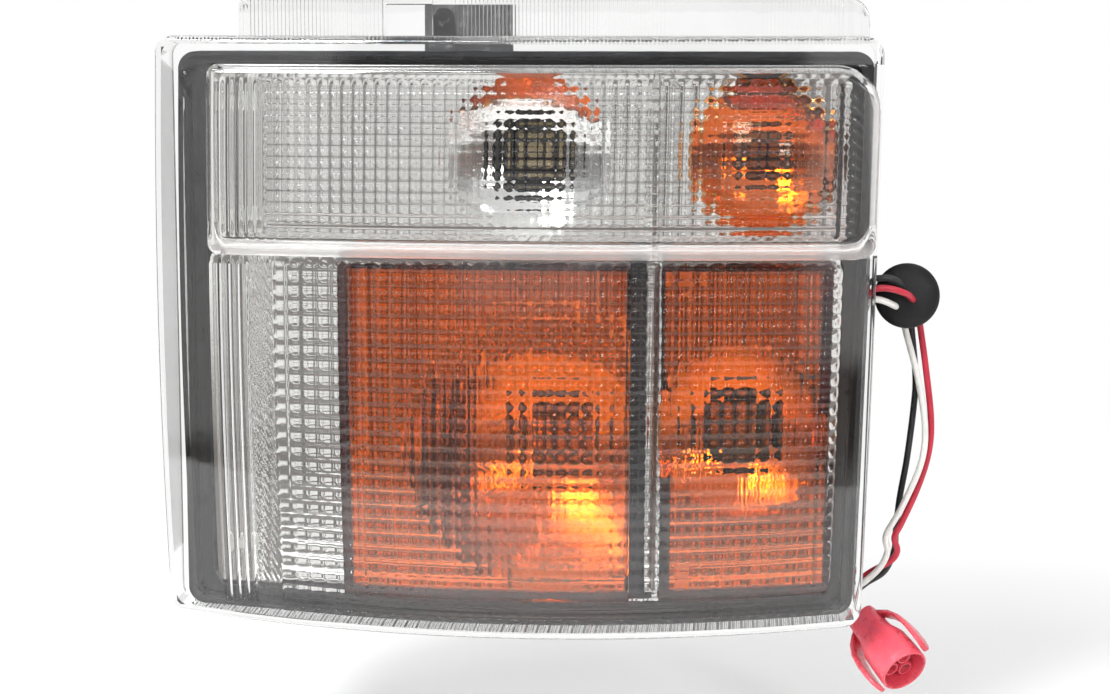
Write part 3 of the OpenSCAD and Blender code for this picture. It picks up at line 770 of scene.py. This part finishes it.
def plate(name, outline, holes, y):
    """Flat sheet with round holes. A hole may be cut short at a limit in x."""
    points = [Vector(p) for p in outline]
    edges = [(i, (i + 1) % len(points)) for i in range(len(points))]
    for station, limit_x in holes:
        start = len(points)
        for k in range(BOWL_SIDES):
            a = 2 * math.pi * k / BOWL_SIDES
            r = bowl_rim(station, limit_x, a)
            points.append(Vector((station[0] + r * math.cos(a), station[1] + r * math.sin(a))))
        edges += [(start + k, start + (k + 1) % BOWL_SIDES) for k in range(BOWL_SIDES)]
    flat, _, faces, _, _, _ = delaunay_2d_cdt(points, edges, [], 1, 1e-5)

    def in_hole(face):
        x = sum(flat[i].x for i in face) / len(face)
        z = sum(flat[i].y for i in face) / len(face)
        for (cx, cz, radius, _, _), limit_x in holes:
            if math.hypot(x - cx, z - cz) < radius and (limit_x is None or x < limit_x):
                return True
        return False

    verts = [(p.x, y, p.y) for p in flat]
    return make_object(name, verts, [f for f in faces if not in_hole(f)], 40)


def thicken(obj, thickness):
    """Gives a sheet its thickness, behind its front side, and keeps the new edges sharp."""
    mod = obj.modifiers.new("thickness", "SOLIDIFY")
    mod.thickness = thickness * MM
    mod.offset = -1
    whole = obj.evaluated_get(bpy.context.evaluated_depsgraph_get())
    mesh = bpy.data.meshes.new_from_object(whole)
    obj.modifiers.clear()
    obj.data = mesh
    mesh.set_sharp_from_angle(angle=math.radians(35))
    return obj


def build_divider():
    """Flat wall that closes the turn bowl where it is cut short."""
    cx, cz, radius, _, _ = TURN
    half = math.sqrt(radius ** 2 - (DIVIDER_X - cx) ** 2)
    verts = []
    for z in steps(cz - half, cz + half, 60):
        r = math.hypot(DIVIDER_X - cx, z - cz)
        verts += [(DIVIDER_X, TRAY_FRONT, z), (DIVIDER_X, TRAY_FRONT + bowl_depth(TURN, r), z)]
    faces = [(2 * i, 2 * i + 1, 2 * i + 3, 2 * i + 2) for i in range(60)]
    return make_object("divider", verts, faces, 40)


def build_reflector(name, outline, bowls, walls=()):
    """Sheet of a plate, its bowls and more walls. Each bowl is a station and its limit in x, or None."""
    parts = [plate("plate", outline, bowls, TRAY_FRONT)]
    parts += [bowl("bowl", station, limit_x) for station, limit_x in bowls]
    for part in parts:
        face_forward(part)
    return thicken(join(name, parts + list(walls)), TRAY_WALL)


def amber_cap(name, left, right):
    """Amber inner lens: a crowned front, fluted behind, whose walls stand on the reflector plate."""
    def span(x):
        return BOTTOM + TRAY[3] + AMBER_INSET + bow(x), AMBER_TOP

    def outer(x, t):
        low, high = span(x)
        z = low + (high - low) * t
        edge = min(x - left, right - x, z - low, high - z)
        return x, crown_y(AMBER_OUT, x, z) + edge_drop(edge, 1.5), z

    def inner(x, t):
        s = (x - left) / (right - left)
        px = left + AMBER_WALL + s * (right - left - 2 * AMBER_WALL)
        low, high = span(px)
        z = low + AMBER_WALL + (high - low - 2 * AMBER_WALL) * t
        flute = 0.5 * abs(math.sin(math.pi * (x - left) / AMBER_FLUTE))
        return px, crown_y(AMBER_OUT - AMBER_WALL, px, z) + flute, z

    def foot(x, y, z):
        return x, TRAY_FRONT, z

    count = int((right - left) / AMBER_FLUTE) * 6
    xs = joined([left, left + 0.4, left + 0.9], steps(left + 1.5, right - 1.5, count),
                [right - 0.9, right - 0.4, right])
    ts = joined([0, 0.004, 0.008], steps(0.013, 0.987, 60), [0.992, 0.996, 1])
    return cap(name, xs, ts, outer, inner, foot, foot)


def polar(radius, degrees):
    return radius * math.cos(math.radians(degrees)), radius * math.sin(math.radians(degrees))


def build_dome():
    inner = DOME_RADIUS - AMBER_WALL
    profile = [polar(DOME_RADIUS, a) for a in range(0, 90, 3)]
    profile += [(0.01, DOME_RADIUS), (0.01, inner)]
    profile += [polar(inner, a) for a in range(87, -1, -3)]
    return lathe("marker_dome", profile, (MARKER[0], TRAY_FRONT, MARKER[1]), (0, -1, 0), 120)


# ---------------------------------------------------------------- bulb springs

SPRING_TURNS = 3.5
SPRING_RADIUS = 4.6
SPRING_WIRE = 0.45
SPRING_REAR = -0.5             # y of the coil's ends
SPRING_FRONT = -4.8


def build_spring(name, station):
    """Coil spring under the contact of a bulb."""
    path = []
    for t in steps(0, 1, 84):
        x, z = polar(SPRING_RADIUS, 360 * SPRING_TURNS * t)
        y = SPRING_REAR + (SPRING_FRONT - SPRING_REAR) * t
        path.append(Vector((station[0] + x, y, station[1] + z)))
    return tube(name + "_coil", path, SPRING_WIRE, 10)


# ---------------------------------------------------------------- wiring

GROMMET_AT = (129.0, -31.6, 11)
GROMMET_AXIS = (0.04, -1, 0.1)
PLUG_AT = Vector((116.8, -31.9, -104.8))
PLUG_DIR = Vector((0.48, -0.74, -0.48)).normalized()
PLUG_UP = (Vector((0, 1, 0)) - PLUG_DIR.y * PLUG_DIR).normalized()
PLUG_SIDE = PLUG_UP.cross(PLUG_DIR)

WIRE_RADIUS = 1.15
WIRES = {                      # points along each lead, from the lamp to the plug
    "red": [(112.8, -34, 12), (113.5, -45.5, 14), (121, -49.3, 15.5), (128, -46.5, 13.5),
            (131, -41.5, 10.8), (132.5, -34, 8), (134, -29, 4), (134.9, -26.5, -0.7), (137.2, -26, -15.5),
            (139.4, -26, -33.9), (138.7, -26, -46.2), (135.1, -26, -58.7), (129.8, -26, -71.2),
            (127.4, -26, -76.5), (128.5, -25, -81.7), (126.1, -23.5, -85.9), (118.6, -22.3, -90.7),
            (112.5, -23, -96.5), (113, -26.5, -101.3), (117.5, -33, -105.5)],
    "white": [(112.8, -34, 9.3), (114.5, -45, 11.3), (120, -46.5, 11), (125.3, -41.5, 8.3), (128, -34, 6),
              (129, -30, 2), (129.8, -28.5, -2.3), (134.3, -28, -18.6), (137.2, -28, -36),
              (136, -28, -49.4), (129.7, -28, -65), (124.4, -27, -75.5), (125, -26, -81.7),
              (122.6, -25.5, -87.5), (117.6, -25, -92.8), (111, -26.3, -97.8), (111.6, -28.6, -100.5),
              (116.2, -34.6, -104.3)],
    "black": [(112.8, -34, 14.7), (116, -45, 18), (123, -46.5, 18.5), (127.5, -41.5, 15.5),
              (130, -34, 10), (131.5, -29, 4), (132, -25, -1.3), (133.8, -23.7, -18.6),
              (133.4, -23.4, -29.8), (131.4, -23.3, -48.4), (129.1, -23.3, -62.9), (128, -23.3, -75),
              (127.6, -22.5, -82.2), (124.2, -21.8, -90), (117.6, -21.9, -94.6), (112.4, -23, -99.6),
              (113.9, -25, -103.3), (118.4, -31.2, -107)],
}


def build_grommet():
    """Cable grommet: a domed flange, a waist for the panel and a chamfered tail."""
    profile = [(0.01, 10.3), (4, 10.1), (7.5, 9.5), (9.8, 8.6), (11, 7.6), (11.3, 6.9), (11.1, 6.2),
               (10.6, 6.0), (8.5, 6.0), (8.5, 3.4), (10.5, 3.4), (10.5, 2.6), (9.2, 0), (0.01, 0)]
    return lathe("grommet_rubber", profile, GROMMET_AT, GROMMET_AXIS)


def plug_point(a, b, t):
    return PLUG_AT + a * PLUG_SIDE + b * PLUG_UP + t * PLUG_DIR


def squircle(half_a, half_b, power, t, shift=0, count=72):
    """Rounded-square loop round the plug's axis. Power 2 is a circle, higher is squarer."""
    loop = []
    for k in range(count):
        c, s = math.cos(2 * math.pi * k / count), math.sin(2 * math.pi * k / count)
        r = (abs(c / half_a) ** power + abs(s / half_b) ** power) ** (-1 / power)
        loop.append(plug_point(shift + r * c, r * s, t))
    return loop


def build_plug():
    """Nylon plug: a squared shank that flares into a round mouth, three cores and two guard leaves."""
    outer = [(0, 4.9, 5), (0.5, 5.4, 5), (5, 5.6, 5), (9, 6.0, 4), (12, 7.0, 3), (15, 8.2, 2.4),
             (20, 8.6, 2.1), (26, 8.75, 2), (27.6, 8.7, 2), (28, 8.3, 2)]
    inner = [(28, 7.9, 2), (27.5, 7.5, 2), (20, 7.3, 2), (14.5, 7.0, 2)]
    parts = [loft("plug_body", [squircle(half, half, power, t) for t, half, power in outer + inner])]
    for angle in (90, 210, 330):
        a, b = polar(3.5, angle)
        loops = [circle(plug_point(a, b, t), PLUG_SIDE, PLUG_UP, r, 32)
                 for t, r in [(14.4, 2.75), (24.6, 2.7), (25, 2.5), (25, 2.1), (24.6, 1.98), (14.6, 1.98)]]
        parts.append(loft("core", loops))
    leaf = [(2.5, 5.2, 2.4), (4, 6.2, 3.4), (7, 8.6, 4.3), (11, 10.3, 4.9), (16, 11.0, 5.0),
            (21, 11.1, 4.8), (24.5, 10.9, 4.0), (26.3, 10.6, 2.8), (27, 10.4, 1.4)]
    for sign in (-1, 1):
        loops = [squircle(0.85, width, 4, t, sign * shift, 40) for t, shift, width in leaf]
        parts.append(loft("leaf", loops, 50))
    plug = join("plug_nylon", parts)
    fix_normals(plug)
    return plug


# ---------------------------------------------------------------- materials

class Nodes:
    """Small helper that wires the shader nodes of a new material, or of a world."""

    def __init__(self, name, world=None):
        self.owner = world or bpy.data.materials.new(name)
        self.owner.use_nodes = True
        self.tree = self.owner.node_tree
        self.tree.nodes.clear()
        self.out = self.add("ShaderNodeOutputWorld" if world else "ShaderNodeOutputMaterial")
        self.coords = self.add("ShaderNodeTexCoord").outputs["Generated" if world else "Object"]

    def add(self, kind, **inputs):
        node = self.tree.nodes.new(kind)
        for key, value in inputs.items():
            self.feed(node, key.replace("_", " "), value)
        return node

    def feed(self, node, key, value):
        if isinstance(value, bpy.types.NodeSocket):
            self.tree.links.new(value, node.inputs[key])
        else:
            node.inputs[key].default_value = value

    def noise(self, scale, detail=4, roughness=0.55):
        return self.add("ShaderNodeTexNoise", Vector=self.coords, Scale=scale, Detail=detail,
                        Roughness=roughness).outputs["Fac"]

    def ranged(self, value, start, end, low, high, kind="SMOOTHSTEP"):
        """Maps a value that runs from start to end to a range."""
        node = self.add("ShaderNodeMapRange", Value=value, From_Min=start, From_Max=end, To_Min=low,
                        To_Max=high)
        node.interpolation_type = kind
        return node.outputs["Result"]

    def between(self, noise, low, high):
        """Maps the middle of a noise to a range."""
        return self.ranged(noise, 0.3, 0.7, low, high, "LINEAR")

    def colors(self, factor, first, second):
        """Mix of two colours, each given as three numbers or by a node."""
        node = self.tree.nodes.new("ShaderNodeMix")
        node.data_type = "RGBA"
        for key, value in (("Factor", factor), ("A", first), ("B", second)):
            self.feed(node, key, (*value, 1) if isinstance(value, tuple) else value)
        return node.outputs["Result"]

    def math(self, kind, *values):
        node = self.tree.nodes.new("ShaderNodeMath")
        node.operation = kind
        for i, value in enumerate(values):
            self.feed(node, i, value)
        return node.outputs[0]

    def blend(self, factor, first, second):
        """Mix of two shaders."""
        node = self.tree.nodes.new("ShaderNodeMixShader")
        for i, value in enumerate((factor, first, second)):
            self.feed(node, i, value)
        return node.outputs[0]

    def split(self):
        """x, y and z of the coordinates."""
        return self.add("ShaderNodeSeparateXYZ", Vector=self.coords).outputs

    def bump(self, height, strength, distance):
        return self.add("ShaderNodeBump", Height=height, Strength=strength,
                        Distance=distance).outputs["Normal"]

    def finish(self, shader):
        self.tree.links.new(shader, self.out.inputs["Surface"])
        return self.owner


def solid_finish(name, dark, light, rough, metallic=0.0, grain=900, bump=0.0001, blotch=60, wear=None,
                 specular=0.5):
    """Opaque finish with mottled colour, varied roughness, a fine grain and optional pale wear."""
    m = Nodes(name)
    color = m.colors(m.between(m.noise(blotch, 6), 0, 1), dark, light)
    if wear:
        color = m.colors(m.between(m.noise(blotch * 5, 8, 0.7), -2.2, 1.3), color, wear)
    shader = m.add("ShaderNodeBsdfPrincipled", Base_Color=color, Metallic=metallic,
                   Specular_IOR_Level=specular,
                   Roughness=m.between(m.noise(blotch * 3), *rough),
                   Normal=m.bump(m.noise(grain, 3), 0.6, bump))
    return m.finish(shader.outputs["BSDF"])


def clear_finish(name, tint, rough, ior=1.49, ripple=0.00004, shadow=(1, 1, 1), frosted=0):
    """Moulded clear plastic or glass: it lets light through to what lies behind it."""
    m = Nodes(name)
    deep = tuple(c * 0.93 for c in tint)
    color = m.colors(m.between(m.noise(25, 3), 0, 1), tint, deep)
    glass = m.add("ShaderNodeBsdfPrincipled", Base_Color=color, IOR=ior, Transmission_Weight=1.0,
                  Roughness=m.between(m.noise(120), rough * 0.6, rough * 1.4),
                  Normal=m.bump(m.noise(90, 2), 0.5, ripple))
    body = glass.outputs["BSDF"]
    if frosted:
        haze = m.add("ShaderNodeAttribute")
        haze.attribute_name = "frost"
        milky = m.add("ShaderNodeBsdfDiffuse", Color=(0.5, 0.48, 0.47, 1))
        body = m.blend(m.math("MULTIPLY", haze.outputs["Fac"], frosted), body, milky.outputs["BSDF"])
    through = m.add("ShaderNodeBsdfTransparent", Color=(*shadow, 1))
    ray = m.add("ShaderNodeLightPath")
    return m.finish(m.blend(ray.outputs["Is Shadow Ray"], body, through.outputs["BSDF"]))


def nylon_finish(name, dark, light):
    """Coloured nylon that lets a little light through."""
    m = Nodes(name)
    color = m.colors(m.between(m.noise(90, 5), 0, 1), dark, light)
    shader = m.add("ShaderNodeBsdfPrincipled", Base_Color=color, Transmission_Weight=0.25, IOR=1.5,
                   Subsurface_Weight=0.4, Subsurface_Scale=0.004,
                   Roughness=m.between(m.noise(300), 0.22, 0.38),
                   Normal=m.bump(m.noise(500, 3), 0.5, 0.00012))
    return m.finish(shader.outputs["BSDF"])


def floor_finish():
    """Pale paper that fades into the white backdrop far behind the part."""
    m = Nodes("pale_floor")
    color = m.colors(m.between(m.noise(3), 0, 1), (0.93, 0.93, 0.93), (0.95, 0.95, 0.95))
    paper = m.add("ShaderNodeBsdfPrincipled", Base_Color=color, Roughness=0.6,
                  Normal=m.bump(m.noise(40), 0.4, 0.0002))
    far = m.add("ShaderNodeEmission", Color=(1, 1, 1, 1))
    fade = m.ranged(m.split()["Y"], -0.6, 1.0, 0, 1)
    return m.finish(m.blend(fade, paper.outputs["BSDF"], far.outputs["Emission"]))


def metal(name, dark, light, rough, grain=900, bump=0.00006, blotch=120, wear=None):
    return solid_finish(name, dark, light, rough, 1.0, grain, bump, blotch, wear)


def grey(value):
    return (value, value, value)


def make_materials():
    """One material for each slot name of the record."""
    return {
        "clear_lens": clear_finish("clear_acrylic", (0.985, 0.99, 0.985), 0.015, frosted=0.22),
        "amber_lens": clear_finish("amber_acrylic", (0.93, 0.38, 0.065), 0.02, shadow=(1, 0.5, 0.1)),
        "bulb_glass": clear_finish("bulb_glass", (0.99, 0.99, 0.98), 0.01, 1.5, 0.00002),
        "metallised": metal("bright_aluminium", (0.86, 0.86, 0.84), (0.93, 0.93, 0.92), (0.04, 0.09),
                            260, 0.00003, 30),
        "black_plastic": solid_finish("housing_plastic", (0.005, 0.005, 0.006), (0.011, 0.011, 0.012),
                                      (0.35, 0.55), grain=1500, wear=grey(0.022), specular=0.15),
        "black_sealant": solid_finish("butyl_sealant", grey(0.005), grey(0.012), (0.2, 0.5),
                                      grain=400, bump=0.0006, specular=0.25),
        "zinc_steel": metal("zinc_steel", (0.5, 0.5, 0.46), (0.68, 0.68, 0.66), (0.25, 0.45),
                            1200, 0.00008, wear=(0.35, 0.34, 0.3)),
        "black_painted_steel": solid_finish("painted_steel", (0.01, 0.01, 0.011), (0.025, 0.025, 0.026),
                                            (0.3, 0.5), grain=700, bump=0.00012, wear=grey(0.1)),
        "black_rubber": solid_finish("moulded_rubber", (0.004, 0.004, 0.005), (0.01, 0.01, 0.011),
                                     (0.45, 0.65), grain=1300, bump=0.00012, wear=grey(0.02),
                                     specular=0.25),
        "black_vinyl": solid_finish("black_wire", (0.01, 0.01, 0.011), (0.028, 0.028, 0.03), (0.3, 0.5)),
        "red_vinyl": solid_finish("red_wire", (0.4, 0.012, 0.03), (0.52, 0.025, 0.05), (0.3, 0.45)),
        "white_vinyl": solid_finish("white_wire", (0.68, 0.67, 0.63), (0.8, 0.79, 0.76), (0.3, 0.45)),
        "red_plastic": nylon_finish("red_nylon", (0.72, 0.07, 0.11), (0.84, 0.13, 0.18)),
        "tinned_brass": metal("tinned_brass", (0.55, 0.5, 0.4), (0.75, 0.72, 0.64), (0.2, 0.4),
                              bump=0.00005, blotch=150),
        "grey_plastic": solid_finish("socket_plastic", grey(0.12), grey(0.2), (0.45, 0.6),
                                     grain=1400, wear=grey(0.28)),
        "plated_steel": metal("plated_steel", (0.6, 0.6, 0.58), (0.78, 0.78, 0.76), (0.2, 0.35)),
        "spring_steel": metal("spring_steel", (0.4, 0.39, 0.37), (0.58, 0.57, 0.55), (0.25, 0.4),
                              blotch=200),
        "bulb_cap_brass": metal("bulb_cap", (0.6, 0.45, 0.2), (0.76, 0.6, 0.32), (0.25, 0.4)),
        "filament_wire": metal("tungsten", (0.2, 0.19, 0.18), (0.35, 0.34, 0.32), (0.3, 0.5),
                               bump=0.00004, blotch=200),
    }


def paint(obj, material):
    obj.data.materials.clear()
    obj.data.materials.append(material)


# ---------------------------------------------------------------- studio

CAMERA_AT = (0.07216, -0.87977, 0.11134)
CAMERA_AIM = (0.011, -0.090, -0.0003)
CAMERA_LENS = 78.7
CAMERA_SENSOR = 36
LAMPS = {                      # place, aim, size and power
    "key": ((-0.75, -1.25, 1.1), (0, 0, 0), (0.42, 0.42), 19),
    "spark": ((0.9, -1.3, 0.45), (0, 0, 0), (0.25, 0.25), 8),
    "strip": ((-0.55, -0.75, 0.95), (0.08, -0.08, 0.06), (0.9, 0.14), 12),
}
FLOOR_Z = -0.150
FLOOR_FRONT = -0.3
FLOOR_BACK = 90
FLOOR_HALF = 60


def aim_at(obj, place, aim):
    """Puts a lamp or camera in the scene, looking at a point."""
    obj.location = place
    obj.rotation_euler = (Vector(aim) - Vector(place)).to_track_quat("-Z", "Y").to_euler()
    bpy.context.scene.collection.objects.link(obj)


def build_studio():
    mesh = bpy.data.meshes.new("floor")
    corners = [(-FLOOR_HALF, FLOOR_FRONT), (FLOOR_HALF, FLOOR_FRONT), (FLOOR_HALF, FLOOR_BACK),
               (-FLOOR_HALF, FLOOR_BACK)]
    mesh.from_pydata([(x, y, FLOOR_Z) for x, y in corners], [], [(0, 1, 2, 3)])
    floor = bpy.data.objects.new("floor", mesh)
    bpy.context.scene.collection.objects.link(floor)
    paint(floor, floor_finish())

    for name, (place, aim, size, power) in LAMPS.items():
        light = bpy.data.lights.new(name, "AREA")
        light.shape = "RECTANGLE"
        light.size, light.size_y = size
        light.energy = power
        aim_at(bpy.data.objects.new(name, light), place, aim)

    camera = bpy.data.cameras.new("camera")
    camera.lens = CAMERA_LENS
    camera.sensor_width = CAMERA_SENSOR
    obj = bpy.data.objects.new("camera", camera)
    aim_at(obj, CAMERA_AT, CAMERA_AIM)
    bpy.context.scene.camera = obj


# height seen, from 0 straight down to 1 straight up, and its colour
ROOM = [(0.0, (0.4, 0.37, 0.35)), (0.38, (0.2, 0.185, 0.175)), (0.5, (0.14, 0.13, 0.13)),
        (0.6, (0.22, 0.22, 0.22)), (0.74, (0.7, 0.7, 0.7)), (1.0, (0.85, 0.85, 0.85))]
# direction x and z, half sizes, softness and strength
ROOM_WINDOWS = [(-0.1, -0.05, 0.075, 0.06, 0.07, 1.15), (-0.5, 0.05, 0.1, 0.35, 0.05, 1.0),
                (0.42, 0.1, 0.1, 0.3, 0.05, 1.2), (-0.05, 0.4, 0.3, 0.08, 0.06, 0.9),
                (0.05, -0.45, 0.5, 0.05, 0.06, 0.5)]


def build_world():
    """White behind the part. Its mirrors see a bright ceiling, a grey room and a few soft windows."""
    world = bpy.data.worlds.new("studio")
    m = Nodes("studio", world)
    view = m.split()

    def below(value, inner, outer):
        """1 below inner, 0 above outer."""
        return m.ranged(value, inner, outer, 1, 0)

    def window(x, z, half_x, half_z, soft, strength):
        """Bright soft rectangle in the room behind the camera."""
        across = m.math("ABSOLUTE", m.math("SUBTRACT", view["X"], x))
        upward = m.math("ABSOLUTE", m.math("SUBTRACT", view["Z"], z))
        inside = m.math("MULTIPLY", below(across, half_x, half_x + soft),
                        below(upward, half_z, half_z + soft))
        return m.math("MULTIPLY", m.math("MULTIPLY", inside, below(view["Y"], -0.1, 0.1)), strength)

    def plain(value):
        return m.add("ShaderNodeBackground", Color=(value, value, value, 1)).outputs[0]

    ramp = m.add("ShaderNodeValToRGB", Fac=m.math("MULTIPLY_ADD", view["Z"], 0.5, 0.5))
    ramp.color_ramp.interpolation = "EASE"
    while len(ramp.color_ramp.elements) < len(ROOM):
        ramp.color_ramp.elements.new(0.5)
    for element, (at, value) in zip(ramp.color_ramp.elements, ROOM):
        element.position = at
        element.color = (*value, 1)
    glow = window(*ROOM_WINDOWS[0])
    for place in ROOM_WINDOWS[1:]:
        glow = m.math("ADD", glow, window(*place))
    room = m.add("ShaderNodeBackground", Color=ramp.outputs[0])
    lit = m.add("ShaderNodeBackground", Strength=glow)
    both = m.add("ShaderNodeAddShader")
    m.feed(both, 0, room.outputs[0])
    m.feed(both, 1, lit.outputs[0])

    ray = m.add("ShaderNodeLightPath").outputs
    behind = m.math("SUBTRACT", 1, below(view["Y"], -0.05, 0.15))
    mix = m.blend(behind, both.outputs[0], plain(0.93))
    mix = m.blend(ray["Is Camera Ray"], mix, plain(1))
    mix = m.blend(ray["Is Diffuse Ray"], mix, plain(0.68))
    m.finish(mix)
    bpy.context.scene.world = world


# ---------------------------------------------------------------- assembly

def main():
    materials = make_materials()
    for entry in frame["record"]["subparts"]:
        paint(frame["nodes"][entry["node"]], materials[entry["material_slot"]])

    def add_piece(obj, slot, body, *nodes):
        paint(obj, materials[slot])
        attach(obj, body)
        if nodes:
            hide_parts(*nodes)

    lens = [build_face(), build_window(), build_skirt(), build_tongue(), build_rib(), build_ledge()]
    for i, part in enumerate(lens):
        add_piece(part, "clear_lens", "lamp", *(["outer_lens"] if i == 0 else []))
    lower = build_reflector("reflector_lower", tray_outline(None, SPLIT_Z - 1),
                            [(TURN, DIVIDER_X), (SIDE, None)], [build_divider()])
    upper = build_reflector("reflector_upper", tray_outline(SPLIT_Z + 1, TOP),
                            [(POSITION, None), (MARKER, None)])
    add_piece(lower, "metallised", "lamp", "lower_reflector")
    add_piece(upper, "metallised", "lamp", "upper_reflector")
    add_piece(amber_cap("turn_lens", *TURN_SPAN), "amber_lens", "lamp", "amber_lens_turn")
    add_piece(amber_cap("side_lens", *SIDE_SPAN), "amber_lens", "lamp", "amber_lens_side")
    add_piece(build_dome(), "amber_lens", "lamp", "amber_dome")
    add_piece(build_grommet(), "black_rubber", "lamp", "grommet")
    add_piece(build_plug(), "red_plastic", "lamp", "connector_housing")
    for color, route in WIRES.items():
        add_piece(tube("lead_" + color, smooth_path(route), WIRE_RADIUS), color + "_vinyl", "lamp",
                  "wire_" + color)
    for name, station in (("turn", TURN), ("side", SIDE), ("position", POSITION), ("marker", MARKER)):
        spring = build_spring(name, station)
        add_piece(spring, "spring_steel", name + "_socket", name + "_spring")
        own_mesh(spring)

    build_world()
    build_studio()
    scene = bpy.context.scene
    scene.view_settings.view_transform = "Standard"
    scene.cycles.max_bounces = 28
    scene.cycles.transmission_bounces = 24
    scene.cycles.glossy_bounces = 12
    scene.cycles.transparent_max_bounces = 24


main()
